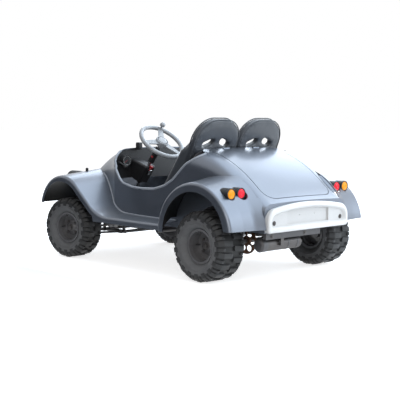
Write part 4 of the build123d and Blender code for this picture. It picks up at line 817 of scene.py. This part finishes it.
def tyre(end, side, place, body, radius, half):
    floor = radius - LUG_HEIGHT
    profile = [(RIM_SHARE, RIM_SEAT_R + 0.0005), *TYRE_WALL, *((a, floor + rise) for a, rise in TYRE_CROWN)]
    whole = [(-a * half, r) for a, r in profile] + [(a * half, r) for a, r in profile[::-1]]
    beads = [(way * (RIM_SHARE * half - BEAD_INSET), RIM_SEAT_R - BEAD_DEPTH) for way in (-1, 1)]
    carcass = turned(beads[:1] + whole + beads[1:], TYRE_STEPS, loop=True)
    lug = tread_block(radius, half, LUG_OUTLINE, LUG_WIDTH, LUG_BEVEL, LUG_SLANT)
    knob = tread_block(radius, half, KNOB_OUTLINE, KNOB_WIDTH, KNOB_BEVEL)
    rows, pitch = [carcass], pi / LUG_COUNT
    for item, first in ((lug, 0), (knob, pitch)):
        other = moved(item.copy(), HALF_TURN)
        rows.append(ring_of(item, LUG_COUNT, first, SHADED_TREAD))
        rows.append(ring_of(other, LUG_COUNT, pitch - first, SHADED_TREAD))
    mesh = merged(rows)
    # Painted shade: full in the tread's grooves, most of it on the blocks, none on the sidewalls
    edge = floor - SHOULDER_DEPTH
    shade_values = [1.0 if hypot(spot.co.x, spot.co.z) > edge else 0.0 for spot in carcass.vertices]
    tread_shade = mesh.attributes.new("tread_shade", "FLOAT", "POINT")
    tread_shade.data.foreach_set("value", shade_values + [BLOCK_SHADE] * (len(mesh.vertices) - len(shade_values)))
    add_piece(
        f"tread_{end}_{side}", moved(mesh, place), SHADED_TREAD, body, stands_for=f"tyre_{end}_{side}"
    )


def nut_mesh(size, height):
    turns = [radians(60 * n) for n in range(6)]
    flat = [(size * cos(turn), size * sin(turn)) for turn in turns]
    return bevelled(prism(flat, height), size * 0.1, 1)


def wheel_trim(end, side, place, body, half, hub_top, nut_top):
    stud = moved(nut_mesh(NUT_R, NUT_HEIGHT), shift_by(NUT_CIRCLE, nut_top, 0))
    nuts = ring_of(stud, NUT_COUNT, pi / 4, STEEL, place)
    cap = moved(turned([(hub_top + rise, r) for rise, r in CAP_PROFILE], 40), place)
    add_piece(f"wheel_nuts_{end}_{side}", [nuts, cap], STEEL, body)
    # Lip ring round each rim, lighter than the rim: painted highlight
    along, radius = RIM_SHARE * half + LIP_OUT, RIM_SEAT_R - LIP_DROP
    turns = [tau * n / LIP_SIDES for n in range(LIP_SIDES)]
    ring = [(along + LIP_R * cos(turn), radius + LIP_R * sin(turn)) for turn in turns]
    lip = moved(turned(ring, 96, loop=True), place)
    add_piece(f"rim_lip_{end}_{side}", [lip], RIM_LIP_HIGHLIGHT, body)
    seat = shift_by(VALVE_R, nut_top - NUT_HEIGHT, 0)
    stem = moved(turned(STEM_PROFILE, 16), place @ seat)
    add_piece(f"valve_{end}_{side}", stem, BLACK, body, sharp=None)


def wheels():
    for side, sign in SIDES:
        for end, (radius, width, hub_top, nut_top) in WHEELS.items():
            place = wheel_place(end, side, sign)
            body = "rear_axle" if end == "rear" else f"wheel_front_{side}"
            tyre(end, side, place, body, radius, width / 2)
            wheel_trim(end, side, place, body, width / 2, hub_top, nut_top)


# Seats


def swollen(mesh, cap):
    """Blows the mesh up a little as cloth, and keeps every point within cap of its start."""
    pad = new_object("pad_carrier", mesh)
    start = [v.co.copy() for v in mesh.vertices]
    settings = pad.modifiers.new("fill", "CLOTH").settings
    settings.use_pressure = True
    settings.uniform_pressure_force = CLOTH_PRESSURE
    settings.effector_weights.gravity = 0
    settings.quality = 4
    settings.tension_stiffness = settings.compression_stiffness = CLOTH_STIFFNESS
    for step in range(1, CLOTH_STEPS + 1):
        scene.frame_set(step)
    result = evaluated(pad)
    scene.frame_set(1)
    for spot, first in zip(result.vertices, start):
        move = spot.co - first
        if move.length > cap:
            spot.co = first + move * (cap / move.length)
    return result


def smoothed(mesh, rounds):
    work = opened(mesh)
    for n in range(rounds):
        bmesh.ops.smooth_vert(
            work, verts=work.verts, factor=0.5, use_axis_x=True, use_axis_y=True, use_axis_z=True
        )
    return put_back(work, mesh)


def seat_form():
    """Remeshed, rounded and filled copy of the left seat's solid."""
    work = opened(nodes["seat_left"].data)
    bmesh.ops.remove_doubles(work, verts=work.verts, dist=SAME_SPOT)
    carrier = new_object("seat_carrier", put_back(work, bpy.data.meshes.new("seat_raw")))
    grid = carrier.modifiers.new("grid", "REMESH")
    grid.mode = "VOXEL"
    grid.voxel_size = SEAT_VOXEL
    mesh = smoothed(evaluated(carrier), 10)
    mesh = smoothed(swollen(mesh, SEAT_SWELL), 2)
    return shaded(mesh)


def seat_point(across, up, depth):
    """A point of the seat back: across from its middle, up its slope, depth in front of its rear face."""
    forward = Vector((cos(SEAT_RECLINE), 0, sin(SEAT_RECLINE)))
    upward = Vector((-sin(SEAT_RECLINE), 0, cos(SEAT_RECLINE)))
    return SEAT_HIP + Vector((0, across, 0)) + upward * up + forward * depth


def back_outline(depth, inset, foot):
    """Rounded top outline of a seat back, from one foot over the top to the other."""
    half, top, corner = SEAT_BACK_HALF - inset, SEAT_BACK_H - inset, SEAT_TOP_CORNER - inset
    points = [seat_point(-half + SEAT_FOOT_INSET, foot, depth)]
    for middle, first in ((-half + corner, 180), (half - corner, 90)):
        for n in range(13):
            turn = radians(first - 7.5 * n)
            up = top - corner + corner * sin(turn)
            points.append(seat_point(middle + corner * cos(turn), up, depth))
    points.append(seat_point(half - SEAT_FOOT_INSET, foot, depth))
    return points


def seats():
    form = seat_form()
    vinyl = FINISHES["seat_vinyl"]
    corners = [(x * STITCH_L / 2, z * STITCH_T / 2) for x, z in ((-1, -1), (1, -1), (1, 1), (-1, 1))]
    stitch = bevelled(prism(corners, STITCH_T), 0.0006, 1)
    for side, sign in SIDES:
        shift = shift_by(0, (sign - 1) * SEAT_HIP.y, 0)
        pad = coat_with(new_object(f"seat_pad_{side}", moved(form.copy(), shift)), vinyl)
        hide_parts(f"seat_{side}")
        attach(pad, "chassis")
        piping, seams = [], []
        for depth in (PIPING_DEPTH, SEAT_BACK_T - PIPING_DEPTH):
            line = back_outline(depth, PIPING_INSET, PIPING_FOOT)
            piping.append(moved(tube_along(line, PIPING_R, vinyl), shift))
        for depth in (SEAM_DEPTH, SEAT_BACK_T - SEAM_DEPTH):
            line = back_outline(depth, SEAM_INSET, SEAM_FOOT)
            seams.append(moved(row_along(line, stitch.copy(), STITCH_COUNT, THREAD), shift))
        add_piece(f"seat_piping_{side}", piping, vinyl, sharp=None)
        add_piece(f"seat_stitching_{side}", seams, THREAD, sharp=None)


# Body trim


def is_cut_face(normal):
    return abs(normal.y) < 0.02 and abs(normal.x) < 0.99985 and abs(normal.z) < 0.99985


def cut_edge_points(names, sign):
    """Outer edge of the cockpit cut on one side, read from the panels' meshes and put in order."""
    rows = {}
    for name in names:
        work = opened(nodes[name].data)
        bmesh.ops.remove_doubles(work, verts=work.verts, dist=SAME_SPOT)
        work.normal_update()
        for edge in work.edges:
            if len(edge.link_faces) != 2:
                continue
            first, second = (face.normal for face in edge.link_faces)
            middle = (edge.verts[0].co + edge.verts[1].co) / 2
            if middle.z < BEAD_LOW or sign * middle.y < BEAD_SIDE or middle.x < BEAD_BACK:
                continue
            cut, skin = (first, second) if is_cut_face(first) else (second, first)
            outer = sign * skin.y + 0.6 * skin.z > 0.3
            if is_cut_face(cut) and not is_cut_face(skin) and outer and cut.z > 0.02:
                for spot in edge.verts:
                    rows[(round(spot.co.x, 3), round(spot.co.z, 3))] = spot.co.copy()
        work.free()
    # Ordered from the tail forward, by the angle seen from above the middle of the door
    return sorted(rows.values(), key=lambda p: atan2(p.x - DOOR_MIDDLE.x, DOOR_MIDDLE.z - p.z))


def cockpit_bead():
    for side, sign in SIDES:
        points = cut_edge_points(["tail_shell", f"side_panel_{side}", "cowl"], sign)
        inward = Vector((0, -sign * 0.003, -0.001))
        kept = [points[0]]
        for point in points[1:]:
            if (point - kept[-1]).length > BEAD_GAP:
                kept.append(point)
        # Pale bead along the cockpit edge: its colour is a painted highlight
        mesh = tube_along([p + inward for p in kept], BEAD_R, HIGHLIGHT_BEAD, sides=12)
        add_piece(f"cockpit_bead_{side}", mesh, HIGHLIGHT_BEAD, sharp=None)


def arch_way(degrees):
    turn = radians(degrees)
    return Vector((cos(turn), 0, sin(turn)))


def fender_welts():
    """Raised welts, pale with a painted highlight, where the front fenders meet the body, and thin cords round the
    rear fenders.
    """
    for side, sign in SIDES:
        body = surface_of("nose_panel", "cowl", f"side_panel_{side}", "tail_shell")
        inward = Vector((0, -sign, 0))
        fender = surface_of(f"front_fender_{side}")
        points = []
        for n in range(WELT_COUNT):
            x = WELT_BACK + WELT_STEP * n
            spot = Vector((x, sign * 0.55, 0))
            for attempt in range(TRACE_TRIES):
                top = hit(fender, (x, spot.y, 1.2), Vector((0, 0, -1)))
                wall = hit(body, (x, sign * OUTSIDE, top.z + 0.012), inward) if top else None
                if wall is None:
                    break
                spot = Vector((x, wall.y + sign * 0.002, top.z + 0.001))
            else:
                points.append(spot)
        add_tube(f"fender_welt_{side}", points, WELT_R, HIGHLIGHT_BEAD)
        fender = surface_of(f"rear_fender_{side}")
        points = []
        for n in range(CORD_COUNT):
            out = arch_way(8 + 2 * n)
            spot = REAR_ARCH + out * 0.4
            for attempt in range(TRACE_TRIES):
                wall = hit(body, (spot.x, sign * OUTSIDE, spot.z), inward)
                if wall is None:
                    break
                spot = hit(fender, REAR_ARCH + out * 0.6 + Vector((0, wall.y + sign * 0.004, 0)), -out)
                if spot is None:
                    break
                spot = spot + out * CORD_LIFT
            else:
                points.append(spot - out * CORD_LIFT - Vector((0, sign * 0.003, 0)))
        add_tube(f"rear_fender_cord_{side}", points, SEAM_CORD_R, SEAM_CORD)


def fender_fillets():
    """Concave fillets from the inner edge of each rear fender down to the sloping tail."""
    tail = surface_of("tail_shell")
    for side, sign in SIDES:
        fender = surface_of(f"rear_fender_{side}")
        rings = []
        for n in range(FILLET_COUNT):
            out = arch_way(FILLET_FIRST + n)
            far = REAR_ARCH + out * 0.7
            lap, edge, foot = (
                hit(tree, far + Vector((0, sign * y, 0)), -out)
                for tree, y in ((fender, FILLET_LAP_Y), (fender, FILLET_EDGE_Y), (tail, FILLET_FOOT_Y))
            )
            if lap is None or edge is None or foot is None or (edge - foot).dot(out) < FILLET_SKIN:
                continue
            top, low = edge + out * 0.0006, foot - out * 0.003
            knee = low + out * 0.004
            knee.y = top.y - sign * 0.004
            curve = [lap + out * 0.0006]
            for step in range(FILLET_STEPS + 1):
                t = step / FILLET_STEPS
                curve.append(top * (1 - t) ** 2 + knee * (2 * t * (1 - t)) + low * t ** 2)
            under = Vector((0, sign * FILLET_SKIN, 0)) - out * FILLET_SKIN
            rings.append(curve + [spot + under for spot in curve[::-1]])
        add_piece(f"rear_fender_fillet_{side}", [lofted(rings)], REAR_FENDER_INNER_SHADE_PAINT)


def lid_gap_shade():
    """Dark tube below the gap round the sides and back of the tail lid: painted shade that keeps the gap dark."""
    lid = surface_of("tail_lid")
    length = (LID_BACK - LID_FRONT).length
    along = (LID_BACK - LID_FRONT).normalized()
    normal = Vector((along.z, 0, -along.x))
    # Half of the outline, then its mirror: place along and across, and the way out along and across
    straight, inner = length - LID_CORNER, LID_HALF - LID_CORNER
    outline = [(LID_START + n * (straight - LID_START) / 24, LID_HALF, 0.0, 1.0) for n in range(25)]
    for n in range(1, 12):
        a, b = sin(radians(7.5 * n)), cos(radians(7.5 * n))
        outline.append((straight + LID_CORNER * a, inner + LID_CORNER * b, a, b))
    outline += [(length, inner * (1 - n / 6), 1.0, 0.0) for n in range(7)]
    outline += [(u, -v, a, -b) for u, v, a, b in outline[-2::-1]]
    points = []
    for u, v, a, b in outline:
        out = along * a + Vector((0, b, 0))
        start = LID_FRONT + along * u + Vector((0, v, 0)) - out * 0.003
        spot = hit(lid, start + normal * 0.2, -normal)
        if spot:
            points.append(spot + out * 0.0055 - normal * 0.0095)
    add_tube("tail_lid_seal", points, GAP_SHADE_R, MAT_RUBBER)


def tail_lamps():
    """Ribbed lenses in place of the plain ones, and a bezel round each."""
    lens_profile = list(LENS_EDGE)
    for n in range(LENS_RIBS):
        r, rise = 0.0255 - 0.006 * n, 0.0006 * n
        lens_profile += [(0.0085 + rise, r), (0.0074 + rise, r - 0.002), (0.0078 + rise, r - 0.0045)]
    lens_profile.append((0.0104, 0.0015))
    for node, slot in (("red_lenses", "red_lens"), ("amber_lenses", "amber_lens")):
        low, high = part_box(node)
        lenses, bezels = [], []
        for side, sign in SIDES:
            place = lamp_turn((low.x + 0.002, sign * (high.y - LENS_R), (low.z + high.z) / 2), True)
            lenses.append(moved(turned(lens_profile, 48), place))
            bezels.append(moved(turned(BEZEL_PROFILE, 48, loop=True), place))
        add_piece(f"{node}_ribbed", lenses, FINISHES[slot], sharp=25, stands_for=node)
        add_piece(f"{node}_bezels", bezels, BLACK, sharp=None)


def headlamps():
    """Thin domed glass over a bright bowl and a bulb, in place of the plain lens blocks."""
    low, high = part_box("headlamp_lenses")
    glass_profile = DOME_PROFILE + [(a - 0.0022, max(r - 0.0012, 0.0008)) for a, r in DOME_PROFILE[::-1]]
    bowl_profile = BOWL_PROFILE + [(a - 0.0012, r) for a, r in BOWL_PROFILE[::-1]]
    glasses, bowls, bulbs = [], [], []
    for side, sign in SIDES:
        place = lamp_turn((high.x - 0.004, sign * (high.y - HEADLAMP_R), (low.z + high.z) / 2), False)
        glasses.append(moved(turned(glass_profile, 56, loop=True), place))
        bowls.append(moved(turned(bowl_profile, 56, loop=True), place))
        bulbs.append(moved(turned(BULB_PROFILE, 20), place))
    add_piece(
        "headlamp_glass", glasses, FINISHES["clear_lens"], stands_for="headlamp_lenses"
    )
    add_piece("headlamp_bowls", bowls, CHROME)
    add_piece("headlamp_bulbs", bulbs, WHITE_MARK)


def steering_trim():
    """Hub disc with a ring on the steering wheel, and a jacket with a switch round its shaft."""
    up = WHEEL_AXIS if WHEEL_AXIS.z > 0 else -WHEEL_AXIS
    place = facing(WHEEL_HUB, up)
    disc = moved(turned(HUB_DISC_PROFILE, 64), place)
    add_piece("steering_hub_disc", [disc], FINISHES["grey_plastic"], "steering_wheel", 25)
    ring = moved(turned(HUB_RING_PROFILE, 64, loop=True), place)
    add_piece("steering_hub_ring", [ring], BLACK, "steering_wheel")
    add_piece("column_jacket", [moved(turned(JACKET_PROFILE, 40, loop=True), place)], BLACK)
    stalk_place = facing(WHEEL_HUB - up * 0.15, (-0.55, 0.75, 0.2))
    add_piece("column_switch", [moved(turned(STALK_PROFILE, 24), stalk_place)], RED_PLASTIC)


def cockpit_trim():
    """Switches, dial, pedal ribs and floor mats."""
    column_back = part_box("column_cover")[0].x
    tilt = Matrix.Rotation(radians(-38), 4, "Y")
    block = slab((-0.013, -0.014, -0.022), (0.013, 0.014, 0.022), 0.004)
    block_place = shift_by(column_back + 0.022, WHEEL_HUB.y, 0.648) @ tilt
    add_piece("switch_block", [moved(block, block_place)], CHROME)
    knob_place = facing((column_back + 0.01, WHEEL_HUB.y, 0.664), (-0.62, 0, 0.78))
    add_piece("switch_knob", [moved(turned(KNOB_PROFILE, 28), knob_place)], RED_PLASTIC)
    pod = slab((REAR_X + 1.068, 0.188, 0.806), (REAR_X + 1.108, 0.226, 0.862), 0.009)
    add_piece("dash_top_pod", [pod], BLACK)

    dial_place = lamp_turn((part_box("dashboard")[0].x, 0.33, 0.73), True)
    tick = slab((-0.0008, 0.001, 0.03), (0.0008, 0.002, 0.035), 0.0002)
    needle = slab((-0.0009, 0.0016, -0.006), (0.0009, 0.0026, 0.026), 0.0003)
    for name, mesh, finish in (
        ("dial_face", turned(DIAL_PROFILE, 56), BLACK),
        ("dial_rim", turned(DIAL_RIM_PROFILE, 56, loop=True), BLACK),
        ("dial_marks", ring_of(tick, DIAL_TICKS, 0, WHITE_MARK), WHITE_MARK),
        ("dial_needle", moved(needle, Matrix.Rotation(NEEDLE_TURN, 4, "Y")), RED_PLASTIC),
    ):
        add_piece(name, [moved(mesh, dial_place)], finish)

    pedal_low, pedal_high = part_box("pedals")
    ribs = []
    for y in (pedal_low.y + PEDAL_INSET, pedal_high.y - PEDAL_INSET):
        pad_place = shift_by(KINGPIN.x - 0.188, y, 0.43) @ Matrix.Rotation(PEDAL_LEAN, 4, "Y")
        for n in range(6):
            z = -0.03 + 0.012 * n
            rib = slab((-0.0095, -0.028, z - 0.003), (-0.0055, 0.028, z + 0.003), 0.0012)
            ribs.append(moved(rib, pad_place))
    add_piece("pedal_ribs", ribs, MAT_RUBBER)

    mats = []
    for low_y, high_y in ((0.05, 0.34), (-0.4, -0.11)):
        mats.append(slab((REAR_X + 0.862, low_y, 0.3095), (REAR_X + 1.25, high_y, 0.314), 0.0015))
        for n in range(MAT_STRIPS):
            x = REAR_X + 0.872 + MAT_STRIP_GAP * n
            mats.append(slab((x, low_y + 0.01, 0.3135), (x + 0.007, high_y - 0.01, 0.316), 0.001))
    add_piece("floor_mats", mats, MAT_RUBBER)


# Running gear


def engine_fins():
    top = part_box("engine")[1].z
    fins = []
    for n in range(6):
        z = top - 0.072 + 0.0125 * n
        fins.append(slab((REAR_X - 0.068, -0.058, z), (REAR_X + 0.118, 0.068, z + 0.004), 0.0012))
    add_piece("engine_fins", fins, FINISHES["cast_alloy"])


def springs():
    """Coil springs round the dampers, each from the foot and top of its damper."""
    coils = []
    for side, sign in SIDES:
        for foot, top in (
            (Vector((REAR_X + 0.07, sign * 0.29, 0.268)), Vector((REAR_X + 0.09, sign * 0.29, 0.548))),
            (Vector((KINGPIN.x, sign * 0.32, 0.1843)), Vector((KINGPIN.x, sign * 0.222, 0.4167))),
        ):
            run = top - foot
            lean = run.to_track_quat("Z", "Y").to_matrix().to_4x4()
            values = {**SPRING_VALUES, "Height": run.length * SPRING_SHARE, "Finish": SPRING_PAINT}
            coils.append(grown(SPRING, values, Matrix.Translation(foot + run * SPRING_START) @ lean))
    add_piece("suspension_springs", coils, SPRING_PAINT, sharp=None)


def chain_path():
    """Chain line round both sprockets, in the chain's own plane."""
    run = SMALL_SPROCKET - BIG_SPROCKET
    lean = atan2(run.y, run.x)
    spread = acos((BIG_SPROCKET_R - SMALL_SPROCKET_R) / run.length)
    points = []
    for middle, radius, first, last in (
        (BIG_SPROCKET, BIG_SPROCKET_R, lean + spread, lean + tau - spread),
        (SMALL_SPROCKET, SMALL_SPROCKET_R, lean - spread, lean + spread),
    ):
        for n in range(25):
            turn = first + (last - first) * n / 24
            points.append((middle.x + radius * cos(turn), CHAIN_Y, middle.y + radius * sin(turn)))
    return points


def chain_links():
    plates = [
        moved(prism(LINK_PLATE, LINK_PLATE_T), shift_by(0, y, 0))
        for y in (-LINK_PLATE_Y, LINK_PLATE_Y)
    ]
    link = merged(plates + [turned([(-0.003, 0.0036), (0.003, 0.0036)], 10)])
    mesh = row_along(chain_path(), link, CHAIN_LINKS, STEEL, closed=True)
    add_piece("drive_chain_links", mesh, STEEL, stands_for="chain")


def bolts():
    """Hexagon bolts with washers on the backs of the rear panel and bar."""
    panel_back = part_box("rear_panel")[0].x + 0.019
    bar_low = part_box("rear_bar")[0]
    spots = [(panel_back, sign * 0.336, 0.388) for side, sign in SIDES]
    spots += [(bar_low.x, y, bar_low.z + 0.019) for y in (0.02, 0.34)]
    wide, narrow = BOLT_R * 1.9, BOLT_R * 1.6
    washer_profile = [(-0.001, wide), (0.0016, wide), (0.0022, narrow), (0.0022, 0.002)]
    heads = []
    for x, y, z in spots:
        heads.append(moved(nut_mesh(BOLT_R, 0.007), lamp_turn((x - 0.0035, y, z), True)))
        heads.append(moved(turned(washer_profile, 28), lamp_turn((x, y, z), True)))
    add_piece("rear_bolts", heads, STEEL)


def muffler_bands():
    """Two bands and a rounded end cap on the muffler."""
    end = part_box("muffler")[1].y
    half, outer, inner = MUFFLER_BAND_W / 2, MUFFLER_BAND_R, MUFFLER_BAND_R - 0.003
    band_profile = [(-half, inner), (-half, outer), (half, outer), (half, inner)]
    shapes = []
    for y in (end - 0.25, end - 0.34):
        band = turned(band_profile, 40, loop=True)
        shapes.append(moved(band, shift_by(MUFFLER_X, y, MUFFLER_Z)))
    cap = turned(MUFFLER_CAP_PROFILE, 40)
    shapes.append(moved(cap, shift_by(MUFFLER_X, end, MUFFLER_Z)))
    add_piece("muffler_bands", shapes, FINISHES["frame_black"])


# Stage


def seen_level(tree, low, high):
    """High for rays from the camera, mirrors and glass, low for the rest."""
    rays = add_node(tree, "ShaderNodeLightPath")
    seen = math_node(tree, "MAXIMUM", rays["Is Camera Ray"], rays["Is Glossy Ray"])
    return mapped(tree, math_node(tree, "MAXIMUM", seen, rays["Is Transmission Ray"]), 0, 1, low, high)


def studio():
    work = bmesh.new()
    bmesh.ops.create_grid(work, x_segments=1, y_segments=1, size=FLOOR_HALF)
    pale, tree, shader = new_material("pale floor")
    feed(tree, shader, {
        "Base Color": (0.8, 0.8, 0.8, 1), "Roughness": 0.9, "Specular IOR Level": 0.1,
        "Emission Color": (1, 1, 1, 1), "Emission Strength": seen_level(tree, 0.0, FLOOR_LIFT),
    })
    floor = coat_with(new_object("studio_floor", from_bmesh(work, False)), pale)

    # Dark cards that the left side mirrors: one stands ahead on the left, one lies on the floor before it
    dark, tree, shader = new_material("dark card")
    feed(tree, shader, {"Base Color": (0.1, 0.1, 0.11, 1), "Roughness": 0.9})
    for name, corners in CARDS:
        work = bmesh.new()
        work.faces.new([work.verts.new(corner) for corner in corners])
        card = coat_with(new_object(name, from_bmesh(work, False)), dark)
        card.visible_camera = card.visible_shadow = False

    world = bpy.data.worlds.new("studio")
    scene.world = world
    world.use_nodes = True
    tree = world.node_tree
    sky = {"Color": (1, 1, 1, 1), "Strength": seen_level(tree, SKY_LOW, SKY_HIGH)}
    feed(tree, tree.nodes["Background"], sky)

    for name, at, size, power, colour in SOFTBOXES:
        lamp = bpy.data.lights.new(name, "AREA")
        lamp.shape = "RECTANGLE"
        lamp.size, lamp.size_y = size
        lamp.energy = power
        lamp.color = colour
        holder = new_object(name, lamp)
        holder.location = at
        holder.visible_camera = False
        holder.rotation_mode = "QUATERNION"
        holder.rotation_quaternion = (LAMPS_AIM - Vector(at)).to_track_quat("-Z", "Y")
    scene.view_settings.view_transform = "Standard"


def camera():
    lens = bpy.data.cameras.new("photo_camera")
    lens.sensor_width = SENSOR
    lens.lens = FOCAL_PIXELS * SENSOR / PHOTO_SIDE
    holder = new_object("photo_camera", lens)
    level = cos(CAMERA_PITCH)
    look = Vector((level * cos(CAMERA_YAW), level * sin(CAMERA_YAW), sin(CAMERA_PITCH)))
    holder.location = CAMERA_AT
    holder.rotation_mode = "QUATERNION"
    turn = look.to_track_quat("-Z", "Y")
    holder.rotation_quaternion = turn @ Matrix.Rotation(CAMERA_ROLL, 3, "Z").to_quaternion()
    scene.camera = holder


dress_frame()
wheels()
seats()
cockpit_bead()
fender_welts()
fender_fillets()
lid_gap_shade()
tail_lamps()
headlamps()
steering_trim()
cockpit_trim()
engine_fins()
springs()
chain_links()
bolts()
muffler_bands()
studio()
camera()
